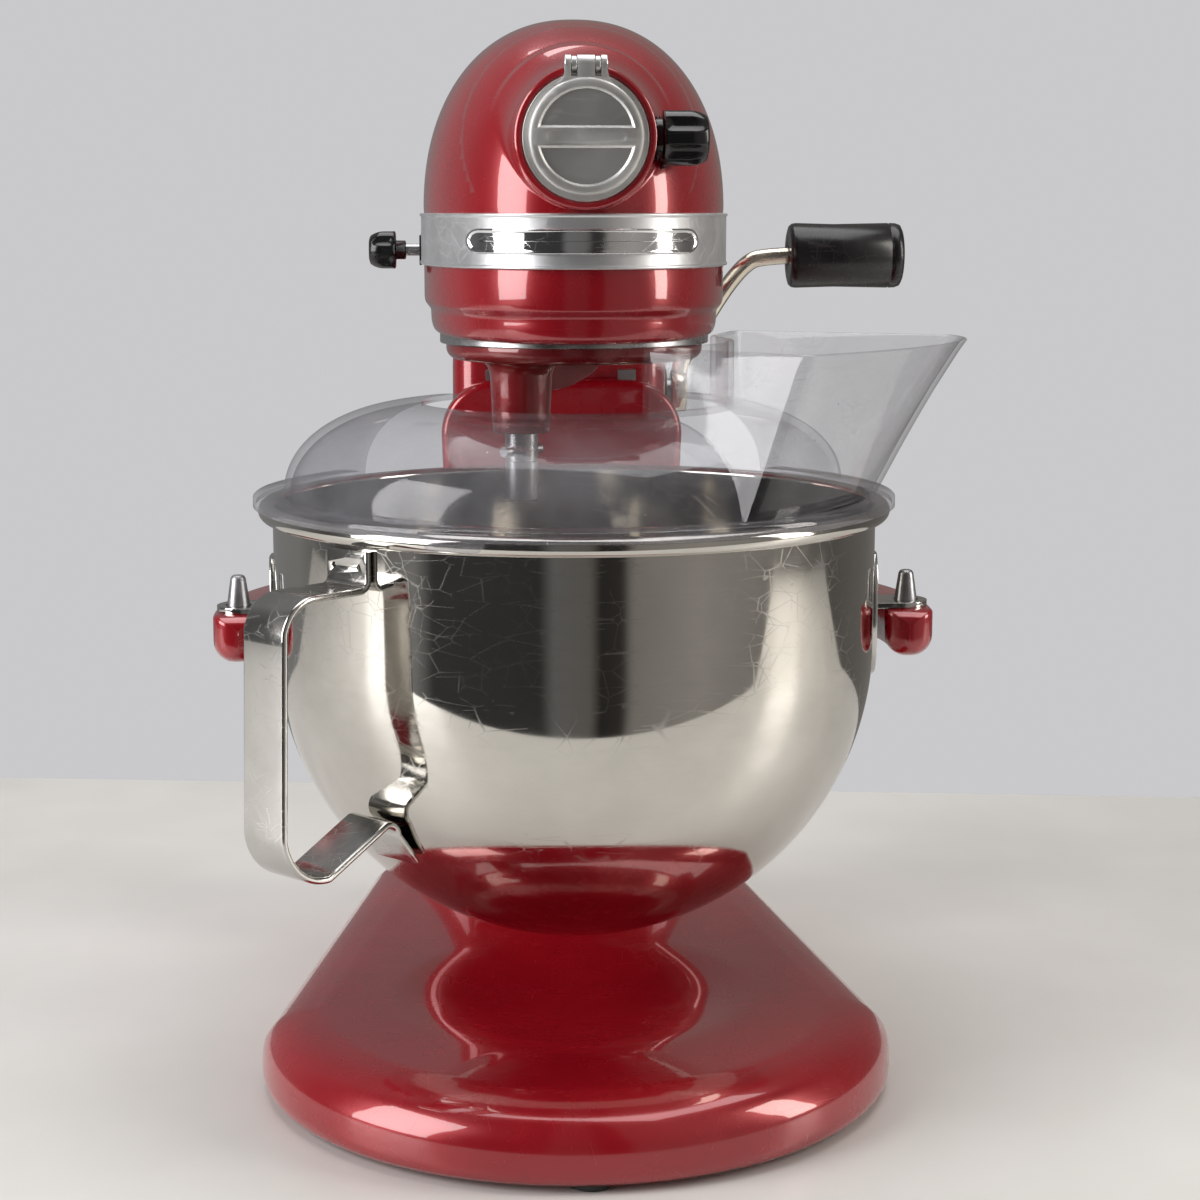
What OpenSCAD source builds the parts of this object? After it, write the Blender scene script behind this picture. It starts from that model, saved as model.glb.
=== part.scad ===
// Bowl-lift stand mixer, in millimetres.
// The origin is on the counter, straight below the axis of the bowl and the planetary.
// +Z is up, the attachment hub faces -Y, and the bowl-lift handle is on the +X side.

/* [Base and column] */
// Radius of the round front of the base
base_r = 127; // [118:1:150]
// How far the base's round centre lies in front of the bowl axis
base_forward = 8; // [0:1:12]
// Distance from the bowl axis to the back of the base
base_rear = 242; // [238:1:260]
// Height of the base's top deck
base_h = 31; // [28:1:38]
// Height of the rubber feet
foot_h = 3; // [2:0.5:6]
// Radius of a rubber foot
foot_r = 9; // [7:0.5:11]
// Width of the column
column_w = 98; // [90:1:104]
// Distance from the bowl axis to the column's front face
column_front = 147; // [146:1:152]
// Depth of the column, front to back
column_depth = 71; // [68:1:76]
// Wall of the column casting
column_wall = 5; // [4:0.5:7]

/* [Head] */
// Width of the motor head
head_w = 117; // [112:1:134]
// Reach of the nose in front of the planetary axis
head_front = 93; // [90:1:96]
// Distance from the planetary axis to the back of the head
head_rear = 236; // [232:1:260]
// Height of the underside of the head
head_bottom = 299; // [299:1:306]
// Height of the top of the head
head_top = 419; // [415:1:440]
// Wall of the head castings
head_wall = 3; // [2.5:0.5:4]
// Height of the trim band's lower edge
band_z = 325.5; // [325:0.5:327]
// Height of the trim band
band_h = 19.5; // [16:0.5:22]
// How far the trim band stands out of the head
band_proud = 1.6; // [1:0.2:2.4]
// Where the rear cover starts
cover_y = 190; // [186:1:196]

/* [Attachment hub] */
// Height of the hub's axis
hub_z = 371; // [369:0.5:374]
// Radius of the hub's bore
hub_bore_r = 17.5; // [16:0.1:19]
// Wall of the hub socket
hub_wall = 5; // [4:0.5:6]
// Depth of the hub's bore
hub_depth = 30; // [26:1:30]
// How far the hub's face stands in front of the planetary axis
hub_face = 98; // [97:0.5:104]
// Radius of the hub's hinge pin
hinge_pin_r = 1.2; // [1:0.1:1.5]
// Radius of the attachment screw
screw_r = 3.4; // [3:0.1:4]

/* [Bowl] */
// Outer radius of the bowl's wall
bowl_r = 118.5; // [98:0.5:120]
// Height of the bowl's lowest point when raised
bowl_bottom = 59.5; // [59:0.5:70]
// Height of the top of the bowl's rim when raised
bowl_top = 234.6; // [230:0.2:236]
// Wall of the bowl
bowl_wall = 1.2; // [1:0.1:2]
// Radius of the rolled rim
bead_r = 3.6; // [3:0.1:4]
// Angle of the bowl's handle, from the front towards -X
handle_turn = 45; // [40:1:50]
// Width of the handle's strap
strap_w = 22; // [18:1:26]
// Thickness of the handle's strap
strap_t = 2.6; // [2:0.1:3.2]
// Finger room between the handle and the bowl's wall
handle_reach = 40; // [36:1:46]

/* [Bowl lift] */
// How far the bowl travels
lift_travel = 36; // [30:1:38]
// How far the lift handle turns, in degrees
lift_turn = 105; // [95:1:115]
// Radius of the lift shaft
lift_shaft_r = 6; // [5:0.25:7]
// Radius of the lift handle's rod
lever_rod_r = 3.9; // [3.5:0.1:4.5]
// Radius of the lift handle's grip
grip_r = 15; // [13:0.5:16]
// Length of the lift handle's grip
grip_l = 53; // [45:1:60]
// Height of the tops of the bowl arms
arm_top = 190; // [186:1:192]
// Width of a bowl arm
arm_w = 19; // [16:1:22]
// Radius at the foot of a bowl locating pin
pin_r = 4.8; // [4:0.1:5.5]

/* [Pouring shield] */
// Thickness of the shield's plastic
shield_t = 2.2; // [1.8:0.1:2.6]
// Radius of the opening around the planetary
shield_hole_r = 60; // [58:1:64]
// Height of the shield above the bowl's rim
shield_h = 37.5; // [30:0.5:38]
// Height of the chute's mouth above the bowl's rim
chute_h = 61.5; // [50:0.5:62]

/* [Drive] */
// Distance of the beater shaft from the planetary axis
beater_offset = 30; // [24:1:32]
// Radius of the beater shaft
beater_r = 6.35; // [6:0.05:6.5]
// Tooth size of the spur gears
tooth = 1.5; // [1.4:0.05:1.55]
// Radius of the motor's field frame
motor_r = 33; // [28:1:34]
// Radius of the motor's shaft
motor_shaft_r = 4; // [3.5:0.5:5]

/* [Hidden] */
$fn = 64;

fit = 0.2;         // gap beside a piece that slides
run = 0.05;        // radial gap around a turning shaft
steps = 48;        // points round a lofted outline

// Powers that keep their sign, for superellipses.
function spow(v, p) = sign(v) * pow(abs(v), p);
// A closed outline, wide w either side, reaching f to the front and r to the back of y0.
function egg(w, f, r, y0, nf = 2.3, nr = 3.6) = [for (i = [0:steps - 1])
    let (a = 360 * i / steps, n = sin(a) < 0 ? nf : nr, b = sin(a) < 0 ? f : r)
    [w * spow(cos(a), 2 / n), y0 + b * spow(sin(a), 2 / n)]];
// Points of an arc about c, from angle a0 to a1.
function arc(c, r, a0, a1, n = 8) = [for (i = [0:n]) let (a = a0 + (a1 - a0) * i / n)
    c + r * [cos(a), sin(a)]];
function at_z(outline, z) = [for (p = outline) [p[0], p[1], z]];
function lerp(a, b, t) = a + (b - a) * t;
// A rectangle with rounded corners, x from -w/2 to w/2 and y from y0 to y1.
function round_rect(w, y0, y1, r, n = 6) = concat(
    arc([w / 2 - r, y1 - r], r, 0, 90, n), arc([-w / 2 + r, y1 - r], r, 90, 180, n),
    arc([-w / 2 + r, y0 + r], r, 180, 270, n), arc([w / 2 - r, y0 + r], r, 270, 360, n));

// Triangles between two rings of n points that start at a and b.
function skin(a, b, n) = [for (i = [0:n - 1], k = [0, 1]) let (j = (i + 1) % n)
    k == 0 ? [a + i, b + i, b + j] : [a + i, b + j, a + j]];
function chain(rings, n) = [for (k = [0:len(rings) - 2], f = skin(n * k, n * (k + 1), n)) f];
function flat(rings) = [for (r = rings, p = r) p];
// A closed solid through rings that run upwards, each seen anticlockwise from above.
module loft(rings) {
    n = len(rings[0]);
    last = n * (len(rings) - 1);
    polyhedron(flat(rings), concat(chain(rings, n), [[for (i = [0:n - 1]) i]],
        [[for (i = [n - 1:-1:0]) last + i]]));
}
// A loft whose first ring joins its last one, for walls that close on themselves.
module ring_loft(rings) {
    n = len(rings[0]);
    polyhedron(flat(rings), concat(chain(rings, n), skin(n * (len(rings) - 1), 0, n)));
}
// A tub or a hood: out runs from its closed end to its lip, and in runs back from lip to closed end.
module tub(out, in, flip = false) {
    n = len(out[0]);
    all = concat(out, in);
    last = n * (len(all) - 1);
    faces = concat(chain(all, n), [[for (i = [0:n - 1]) i]], [[for (i = [n - 1:-1:0]) last + i]]);
    polyhedron(flat(all), flip ? [for (f = faces) [for (i = [len(f) - 1:-1:0]) f[i]]] : faces);
}
module along_x(p) translate(p) rotate([0, 90, 0]) children();
module along_y(p) translate(p) rotate([-90, 0, 0]) children();
module tube(r, bore, h) difference() {
    cylinder(r = r, h = h);
    translate([0, 0, -1]) cylinder(r = bore, h = h + 2);
}
// A round bar bent along points that never run straight along +Y.
module bent_bar(points, r, side = 10) loft([for (i = [0:len(points) - 1])
    let (t = points[min(i + 1, len(points) - 1)] - points[max(i - 1, 0)], u = cross([0, 1, 0], t),
         a = u / norm(u), v = cross(t, a), b = v / norm(v))
    [for (k = [0:side - 1]) points[i] + r * (cos(360 * k / side) * a + sin(360 * k / side) * b)]]);
// Points of a smooth curve through p, n to a span, that starts and ends straight.
function smooth(p, n = 5) = concat([p[0]], [for (i = [1:len(p) - 2], k = [0:n - 1])
    let (a = lerp(p[i], p[i - 1], 0.5), b = lerp(p[i], p[i + 1], 0.5), t = (k + 0.5) / n)
    lerp(lerp(a, p[i], t), lerp(p[i], b, t), t)], [p[len(p) - 1]]);
// A round wire wound along +Z.
module coil(r, wire, pitch, turns, side = 10, per_turn = 20) loft([for (i = [0:turns * per_turn])
    let (a = 360 * i / per_turn, z = pitch * i / per_turn)
    [for (k = [0:side - 1]) let (b = -360 * k / side)
        [(r + wire * cos(b)) * cos(a), (r + wire * cos(b)) * sin(a), z + wire * sin(b)]]]);

// Straight-flanked gear teeth, with their middles at whole pitches from angle 0.
slope = tan(20);
function gear(n, m, thick = 0.43, out = 1, root = 1.25) = let (r = n * m / 2, w = thick * 180 / n)
    [for (i = [0:n - 1], k = [-1, 1], e = (k < 0 ? [0, 1] : [1, 0]))
        let (dr = e == 0 ? -root * m : out * m, half = w - dr * slope / r * 180 / PI,
             a = 360 * i / n + k * half)
        (r + dr) * [cos(a), sin(a)]];

// --- sizes that follow from the ones above ---
head_mid = 20;                                  // where the head is widest
head_half = head_w / 2;
seat = 0.6;                                     // depth of the band's seat in the housings
split_z = band_z + band_h / 2;
band_top = band_z + band_h;
function head_line(d, s = 1) = egg((head_half - d) * s, (head_front + head_mid - d) * s,
    (head_rear - head_mid - d) * s, head_mid);
floor_z = head_bottom + head_wall;
column_back = column_front + column_depth;
column_inner = column_w / 2 - column_wall;
deck = base_h;

bowl_mid = bowl_bottom + bowl_r;                // centre of the bowl's round bottom
bead_z = bowl_top - bead_r;
bead_mid = bowl_r + bead_r * 0.55;
rim_r = bead_mid + bead_r;
arm_r = rim_r + 9;                              // centreline of the bowl arms and their pins
slider_front = rim_r + 3;
slider_back = column_front - 3;
slider_w = 108;
slider_top = 271;
arm_h = 19;
rail_x = 30;
rail_w = 8;
tongue_w = 24;
tongue_z = arm_top + 4;
tongue_h = 30;

pivot_y = column_front + 37;                    // the lift shaft's axis
pivot_z = 262;
crank_r = lift_travel / (2 * sin(lift_turn / 2));
keeper_y = column_front + column_wall + 1.5;
keeper_t = 3;
rod_y = pivot_y - crank_r * (1 + cos(lift_turn / 2)) / 2;
crank_pin_r = 3;
// width of the lift rod's eye, with room for the crank pin's sideways swing
eye_w = crank_r * (1 - cos(lift_turn / 2)) + 2 * crank_pin_r + 1;
lever_x = column_w / 2 + 5;
grip_x = 108;
grip_z = 325.5;
grip_y = pivot_y - 4;

beater_turn = 225;                              // where the beater shaft stands at rest
beater_at = beater_offset * [cos(beater_turn), sin(beater_turn)];
beater_end = 236;                               // the free end of the beater shaft
pilot_l = 15;                                   // its length of plain shaft, up to a relief groove
relief_l = 1;
relief_r = beater_r - 0.6;
cross_pin_up = 19;
cross_pin_r = 2;
boss_end = 262;                                 // the lower end of the boss round the beater shaft
web_z = 277;
pinion_teeth = 20;
ring_teeth = pinion_teeth + round(2 * beater_offset / tooth);
ring_tooth = 2 * beater_offset / (ring_teeth - pinion_teeth);
ring_pitch = ring_teeth * ring_tooth / 2;
disc_r = 50;
disc_z = 289;
disc_top = head_bottom - 1.2;
gear_z = floor_z + 1;

centre_teeth = 36;
idler_teeth = 18;
worm_teeth = 24;
worm_pitch = 5.236;
worm_wheel_r = worm_teeth * worm_pitch / (2 * PI);
worm_r = 7;
worm_turns = 4;
idler_x = -(worm_wheel_r + worm_r);
idler_reach = (centre_teeth + idler_teeth) * tooth / 2;
idler_y = sqrt(idler_reach * idler_reach - idler_x * idler_x);
idler_dir = atan2(idler_y, idler_x);
plate_z = gear_z + 11;
plate_t = 3;
centre_z = plate_z + plate_t + 2;
gear_t = 8;
motor_z = floor_z + 35;
motor_front = 68;
motor_back = 182;
rotor_r = motor_r * 0.55;
brush_y = 162;                                  // where the carbon brushes meet the commutator
crown_z = motor_z + 12;
hub_teeth = 20;
crown_teeth = 42;
crown_pitch = hub_z - hub_teeth * tooth / 2;
crown_r = crown_teeth * tooth / 2;
shaft_r = 6;
idler_r = 5;

lever_y = 48;                                   // the speed lever's line at rest
lever_z = split_z - 5;
lever_pivot = [-22, lever_y];
lever_r = 2.4;
lever_post_r = 3;
link_x = -42;
link_l = 136;
link_z = lever_z - 6.2;
speed_knob_r = 7.8;

hub_r = hub_bore_r + hub_wall;
hinge_z = hub_z + hub_r + 2;
hinge_y = -hub_face - 0.5;
knuckle_r = 3.2;
hinge_w = 14.8;
hub_shaft_r = 8;
cover_t = 4.8;
cover_r = hub_r - 2.5;
knob_y = -hub_face + 14;
knob_x = hub_bore_r + 5.5;
knob_r = 10;
knob_neck = 7;
knob_neck_l = 4.5;
screw_l = 14;

flange_z = bowl_top + 0.1;                      // underside of the shield's flange
flange_in = bowl_r - 4.5;
flange_out = rim_r + 1.9;
shield_start = -220;                            // the shield is open at the back, like a C
shield_sweep = 262;
dome_top = flange_z + shield_h;
chute_top = flange_z + chute_h;
foot_gap = 0.2;                                 // glue line between the chute's foot and the dome

// --- base and column ---
dish_r = 76;                                    // the shallow dish below the bowl
dish_depth = 11;
deck_t = 5;
under_z = base_h - dish_depth - 4;              // underside of the casting below the dish
bolt_r = 3;
bolt_head_r = 6.5;
bolt_head_h = 5;
column_floor = 6;
function base_line(d) =
    let (r = base_r - d, c = -base_forward, back = base_rear - d, q = 46, h = base_r - 34 - d)
    concat(arc([0, c], r, -90, -4, 16), arc([h - q, back - q], q, 4, 90, 8),
           arc([-h + q, back - q], q, 90, 176, 8), arc([0, c], r, 184, 270 - 86 / 16, 15));
// Height of the deck: a shallow round dish below the bowl.
function dish(x, y) = let (d = norm([x, y]) / dish_r) d < 1 ? dish_depth * (1 - d * d) * (1 - d * d) : 0;
base_edge = [[2.5, foot_h], [0.8, foot_h + 2], [0, foot_h + 6], [0.9, base_h - 14], [3.5, base_h - 9],
             [8, base_h - 4.6], [15, base_h - 1.6], [24, base_h]];
function shrink(outline, s) = [for (p = outline) [p[0] * s, p[1] * s]];

module base() color("crimson") difference() {
    lip = [for (e = base_edge) at_z(base_line(e[0]), e[1])];
    top = [for (s = [0.86, 0.72, 0.6, 0.5, 0.4, 0.3, 0.2, 0.1])
        [for (p = shrink(base_line(24), s)) [p[0], p[1], base_h - dish(p[0], p[1])]]];
    loft(concat(lip, top));
    translate([0, 0, -1]) linear_extrude(under_z + 1) polygon(base_line(22));
    // hollow round the dish, between bosses for the column's bolts
    translate([0, 0, -1]) linear_extrude(base_h - deck_t + 1) difference() {
        polygon(base_line(26));
        circle(r = dish_r + 3);
        for (p = bolt_spots()) translate(p) circle(r = bolt_head_r + 4);
    }
    for (p = bolt_spots()) translate([p[0], p[1], -1]) cylinder(r = bolt_r + 0.6, h = base_h + 2);
}

module rubber_feet() color("#222222")
    for (p = [[0, -base_forward - base_r + 12], [base_r - 14, -20], [-base_r + 14, -20],
              [base_r - 48, base_rear - 30], [-base_r + 48, base_rear - 30]])
        translate(concat(p, 0)) cylinder(r = foot_r, h = foot_h);

function bolt_spots() = [for (x = [-1, 1], y = [column_front + 16, column_back - 16])
    [x * (column_inner - 12), y]];
function flare(z) = (1 - z) * (1 - z);
gland_z = deck + 62;                            // the cord inlet, low on the column's back
gland_r = 9;
function column_line(d) =
    let (w = column_w / 2 + d, front = column_front - d, back = column_back + d * 0.1, f = 14 + d * 0.5,
         b = 26 + d)
    concat(arc([w - b, back - b], b, 0, 90, 6), arc([-w + b, back - b], b, 90, 180, 6),
           arc([-w + f, front + f], f, 180, 270, 6), arc([w - f, front + f], f, 270, 360, 6));

// Half the width of the head's flat underside at y.
function under_x(y) = let (u = (y - head_mid) / (head_rear - head_mid - 6.5))
    (head_half - 6.5) * pow(1 - pow(u, 3.6), 1 / 3.6);
neck = [for (p = column_line(0)) [sign(p[0]) * min(abs(p[0]), under_x(p[1])), p[1]]];

module column() color("crimson") difference() {
    foot = [for (s = [0, 0.08, 0.18, 0.3, 0.45, 0.65, 1]) at_z(column_line(20 * flare(s)), deck + 50 * s)];
    loft(concat(foot, [at_z(column_line(0), slider_top + 4), at_z(neck, head_bottom)]));
    translate([0, 0, deck + column_floor]) linear_extrude(head_bottom)
        polygon(round_rect(column_inner * 2, column_front + column_wall, column_back - column_wall, 20));
    // slot for the yoke's tongue
    translate([-tongue_w / 2 - 0.6, column_front - 30, tongue_z - lift_travel - 2])
        cube([tongue_w + 1.2, 40, lift_travel + tongue_h + 4]);
    // bolt holes and the seat of the lift bush
    for (p = bolt_spots()) translate([p[0], p[1], deck - 1]) cylinder(r = bolt_r, h = column_floor + 3);
    along_x([column_inner - 2, pivot_y, pivot_z]) cylinder(r = lift_shaft_r + 4, h = 30);
    // cord inlet low on the back
    along_y([0, column_back - 20, gland_z]) cylinder(r = gland_r, h = 60);
}

module column_bolts() color("silver")
    for (p = bolt_spots()) translate([p[0], p[1], under_z - bolt_head_h]) {
        cylinder(r = bolt_head_r, h = bolt_head_h);
        cylinder(r = bolt_r, h = bolt_head_h + deck - under_z + column_floor + 4);
    }

module guide_rails() color("silver")
    for (s = [-1, 1]) translate([s * rail_x - rail_w / 2, slider_back - 4, slider_top - 126])
        cube([rail_w, column_front - slider_back + 4, 130]);

module lift_bush() color("dimgray") along_x([column_inner - 2, pivot_y, pivot_z]) difference() {
    union() {
        cylinder(r = lift_shaft_r + 4, h = column_wall + 2);
        translate([0, 0, column_wall + 2]) cylinder(r = lift_shaft_r + 6, h = 2);
    }
    translate([0, 0, -1]) cylinder(r = lift_shaft_r + run, h = 20);
}

module cord_gland() color("#222222") along_y([0, column_back - column_wall - 3, gland_z]) difference() {
    union() {
        cylinder(r = gland_r, h = column_wall + 6);
        translate([0, 0, column_wall + 3]) cylinder(r = gland_r + 2.5, h = 4);
        cylinder(r = gland_r + 2.5, h = 3);
    }
    translate([0, 0, -1]) cylinder(r = 4, h = 30);
}

// --- head ---
function dome_rings(d, n = 10, grow = 2.2) = [for (i = [0:n])
    let (a = min(88, 90 * i / n), s = pow(cos(a), 2 / grow), h = pow(sin(a), 2 / grow))
    at_z(head_line(d, s), band_top + (head_top - d - band_top) * h)];
function up(rings) = [for (i = [len(rings) - 1:-1:0]) rings[i]];

module hood() {
    out = concat([at_z(head_line(seat), split_z), at_z(head_line(seat), band_top)], dome_rings(0));
    in = concat([at_z(head_line(head_wall), split_z)], dome_rings(head_wall));
    tub(concat(up(out)), in, true);
}
low_edge = [[6.5, 0], [3.6, 1.4], [2.6, 4], [2.4, 9], [0.4, 12], [0, 14]];
module lower_tub() {
    out = concat([for (e = low_edge) at_z(head_line(e[0]), head_bottom + e[1])],
        [at_z(head_line(0), band_z), at_z(head_line(seat), band_z), at_z(head_line(seat), split_z)]);
    in = [at_z(head_line(head_wall), split_z), at_z(head_line(head_wall), head_bottom + 14),
          at_z(head_line(head_wall + 3), head_bottom + 6), at_z(head_line(head_wall + 6), floor_z)];
    tub(out, in);
}
// The back of the head at height z above the band.
function rear_at(z) = head_mid + (head_rear - head_mid)
    * pow(1 - pow((z - band_top) / (head_top - band_top), 2.2), 1 / 2.2);
module behind(gap) translate([-200, cover_y + gap, 0]) cube([400, 200, 600]);
module lever_window() translate([-head_half - 12, lever_y - 6, lever_z - 4.2]) cube([30, 32, 8.4]);

module head_lower_housing() color("crimson") difference() {
    lower_tub();
    behind(0);
    translate([0, 0, head_bottom - 1]) cylinder(r = ring_pitch + 1.5, h = 10);
    lever_window();
}
module hub_boss() along_y([0, -hub_face, hub_z]) rotate_extrude() polygon(concat([[0, 34], [0, 0],
    [hub_r + 1.6, 0]], [for (t = [0:0.125:1]) [hub_r + 2.4 + 9 * t * t, 0.8 + 33.2 * t]]));
module head_upper_housing() color("crimson") difference() {
    union() {
        hood();
        intersection() {
            hub_boss();
            translate([-100, -150, split_z + 2]) cube([200, 200, 200]);
        }
    }
    behind(0);
    along_y([0, -hub_face - 10, hub_z]) cylinder(r = hub_r, h = 60);
    // recess for the attachment knob and its neck
    along_x([hub_r - 3, knob_y, hub_z]) cylinder(r = knob_neck + 0.6, h = 60);
    along_x([knob_x + knob_neck_l - 0.6, knob_y, hub_z]) cylinder(r = knob_r + 0.8, h = 60);
    hinge_notch(6.2);
    lever_window();
}
// Room for the hub cover's knuckle and for the lugs that hold its pin.
module hinge_notch(depth) translate([-hinge_w / 2 - 0.4, -hub_face - 5, hinge_z - knuckle_r - 0.4])
    cube([hinge_w + 0.8, 5 + depth, 20]);
module rear_cover() color("crimson") difference() {
    intersection() {
        union() {
            lower_tub();
            hood();
        }
        behind(0.3);
    }
    along_y([0, rear_at(cover_screw_z) - 20, cover_screw_z]) cylinder(r = 2.2, h = 60);
    along_y([0, rear_at(cover_screw_z) - 1.6, cover_screw_z]) cylinder(r = 5.2, h = 60);
}
cover_screw_z = band_top + 12;
module rear_cover_screw() color("silver") along_y([0, rear_at(cover_screw_z) - 14, cover_screw_z]) {
    cylinder(r = 2.1, h = 14);
    translate([0, 0, 12.4]) cylinder(r = 5, h = 2);
}
module trim_band() color("silver") difference() {
    translate([0, 0, band_z]) linear_extrude(band_h) difference() {
        polygon(head_line(-band_proud));
        polygon(head_line(seat));
    }
    lever_window();
}
badge_w = 84;
badge_h = 9;
module trim_badge() color("gainsboro") translate([0, 0, split_z - badge_h / 2]) linear_extrude(badge_h)
    intersection() {
        difference() {
            polygon(head_line(-band_proud - 0.8));
            polygon(head_line(-band_proud));
        }
        translate([-badge_w / 2, -head_front - 20]) square([badge_w, 100]);
    }

// --- attachment hub ---
module hub_socket() color("silver") {
    difference() {
        along_y([0, -hub_face, hub_z]) difference() {
            cylinder(r = hub_r, h = hub_depth + 4);
            translate([0, 0, -1]) cylinder(r = hub_bore_r, h = hub_depth + 1);
            translate([0, 0, hub_depth - 1]) cylinder(r = hub_shaft_r + run, h = 10);
            translate([0, 0, hub_face + knob_y]) rotate([0, 90, 0]) cylinder(r = screw_r + run, h = 40);
        }
        hinge_notch(3.6);
    }
    for (s = [-1, 1]) difference() {
        union() {
            along_x([s * 4.1 - 0.9, hinge_y, hinge_z]) cylinder(r = knuckle_r - 0.4, h = 1.8);
            translate([s * 4.1 - 0.9, hinge_y, hub_z + hub_r - 3])
                cube([1.8, 6, hinge_z - hub_z - hub_r + 5.8]);
        }
        along_x([s * 4.1 - 3, hinge_y, hinge_z]) cylinder(r = hinge_pin_r, h = 6);
        translate([-20, -hub_face - 4, hub_z + hub_r - 8]) cube([40, 4 + fit, 8.3]);
    }
}
module hub_hinge_pin() color("silver") along_x([-hinge_w / 2, hinge_y, hinge_z])
    cylinder(r = hinge_pin_r, h = hinge_w);

module hub_cover() color("silver") difference() {
    union() {
        along_y([0, -hub_face - fit - cover_t, hub_z]) cylinder(r = cover_r, h = cover_t);
        along_x([-hinge_w / 2, hinge_y, hinge_z]) cylinder(r = knuckle_r, h = hinge_w);
        translate([-hinge_w / 2, hinge_y - knuckle_r, hub_z + cover_r - 5])
            cube([hinge_w, knuckle_r + 0.3, hinge_z - hub_z - cover_r + 5]);
    }
    for (s = [-1, 1]) translate([s * 4.1 - 1.15, hinge_y - 10, hinge_z - 4.2]) cube([2.3, 20, 12]);
    along_x([-10, hinge_y, hinge_z]) cylinder(r = hinge_pin_r + run, h = 20);
    // two D-shaped recesses, either side of the bar
    for (s = [-1, 1]) along_y([0, -hub_face - 20, hub_z]) intersection() {
        cylinder(r = cover_r - 3, h = 20 - fit - cover_t + 1.3);
        translate([-30, s < 0 ? -33 : 3, 0]) cube([60, 30, 30]);
    }
}
module attachment_screw() color("silver") along_x([hub_bore_r + 0.2, knob_y, hub_z])
    cylinder(r = screw_r, h = screw_l);
module attachment_knob() color("#111111") along_x([knob_x, knob_y, hub_z]) difference() {
    union() {
        cylinder(r = knob_neck, h = knob_neck_l);
        translate([0, 0, knob_neck_l]) cylinder(r = knob_r, h = 9.5);
        translate([0, 0, 14]) difference() {
            sphere(r = knob_r);
            translate([-20, -20, -40]) cube(40);
            translate([-20, -20, 7]) cube(40);
        }
    }
    translate([0, 0, -1]) cylinder(r = screw_r, h = screw_l - (knob_x - hub_bore_r - 0.2) + 1);
    for (a = [0:60:300]) rotate(a) translate([12.2, 0, 5]) cylinder(r = 3.6, h = 30);
}

// --- speed control ---
module speed_slot_plate() color("#222222") difference() {
    translate([0, 0, lever_z - 6]) linear_extrude(12) intersection() {
        difference() {
            polygon(head_line(-band_proud - 0.8));
            polygon(head_line(-band_proud));
        }
        translate([-100, lever_y - 9]) square([80, 38]);
    }
    lever_window();
}
module speed_lever() color("silver") difference() {
    union() {
        along_x([-head_half - 10, lever_y, lever_z])
            cylinder(r = lever_r, h = head_half + 10 + lever_pivot[0]);
        translate(concat(lever_pivot, lever_z - lever_r - 0.15)) cylinder(r = 6, h = lever_r + 3);
        translate([link_x, lever_y, link_z - 1]) cylinder(r = 1.5, h = lever_z - link_z + 1);
    }
    translate(concat(lever_pivot, lever_z - 10)) cylinder(r = lever_post_r + run, h = 20);
}
module speed_knob() color("#111111") along_x([-head_half - 8, lever_y, lever_z])
    rotate([180, 0, 0]) difference() {
        union() {
            cylinder(r = 3.8, h = 4.5);
            translate([0, 0, 4]) cylinder(r = speed_knob_r, h = 5);
            translate([0, 0, 9]) difference() {
                sphere(r = speed_knob_r);
                translate([-20, -20, -40]) cube(40);
                translate([-20, -20, 6]) cube(40);
            }
        }
        translate([0, 0, -1]) cylinder(r = lever_r, h = 3);
        for (a = [0:60:300]) rotate(a) translate([speed_knob_r + 1.8, 0, 5]) cylinder(r = 2.8, h = 30);
    }
module speed_link() color("silver") difference() {
    translate([link_x - 5, lever_y - 4, link_z]) cube([10, link_l, 2]);
    translate([link_x - 2, lever_y - 2, link_z - 1]) cube([6, 4, 4]);
    translate([link_x - 2, lever_y + 10, link_z - 1]) cube([20, link_l - 24, 4]);
}

// --- planetary and gears ---
module ring_gear() color("gray") translate([0, 0, floor_z]) linear_extrude(10) difference() {
    circle(r = ring_pitch + 4);
    rotate(beater_turn) polygon(gear(ring_teeth, ring_tooth, 0.57, 1.25, 1));
}
module drip_ring() color("silver") translate([0, 0, head_bottom - 3.6])
    tube(disc_r + 2.4, disc_r + 0.4, 3.6);
module planetary() color("crimson") difference() {
    union() {
        translate([0, 0, disc_z]) rotate_extrude() polygon([[0, 0], [disc_r - 6, 0], [disc_r - 3, 0.8],
            [disc_r - 1, 2.4], [disc_r, 5], [disc_r, disc_top - disc_z], [0, disc_top - disc_z]]);
        translate([0, 0, disc_z]) cylinder(r = ring_pitch - 4, h = gear_z - 1.5 - disc_z);
        translate(concat(beater_at, boss_end)) cylinder(r1 = 11, r2 = 12.2, h = disc_z - boss_end + 1);
        // the web that stiffens the beater boss
        translate(concat(beater_at, web_z)) rotate(25) translate([0, -3, 0])
            cube([34, 14, disc_z - web_z + 1]);
    }
    translate(concat(beater_at, 200)) cylinder(r = beater_r + run, h = 200);
    translate([0, 0, 200]) cylinder(r = shaft_r, h = 200);
}
module beater_shaft() color("silver") translate(concat(beater_at, beater_end)) difference() {
    cylinder(r = beater_r, h = gear_z + gear_t + 1 - beater_end);
    translate([0, 0, pilot_l]) tube(beater_r + 1, relief_r, relief_l);
    translate([0, 0, -1]) cylinder(r = 2, h = 6);
    translate([0, 0, cross_pin_up]) rotate(beater_turn) along_x([-20, 0, 0])
        cylinder(r = cross_pin_r, h = 40);
}
module beater_cross_pin() color("silver") translate(concat(beater_at, beater_end + cross_pin_up))
    rotate(beater_turn) along_x([-10, 0, 0]) cylinder(r = cross_pin_r, h = 20);
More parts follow.
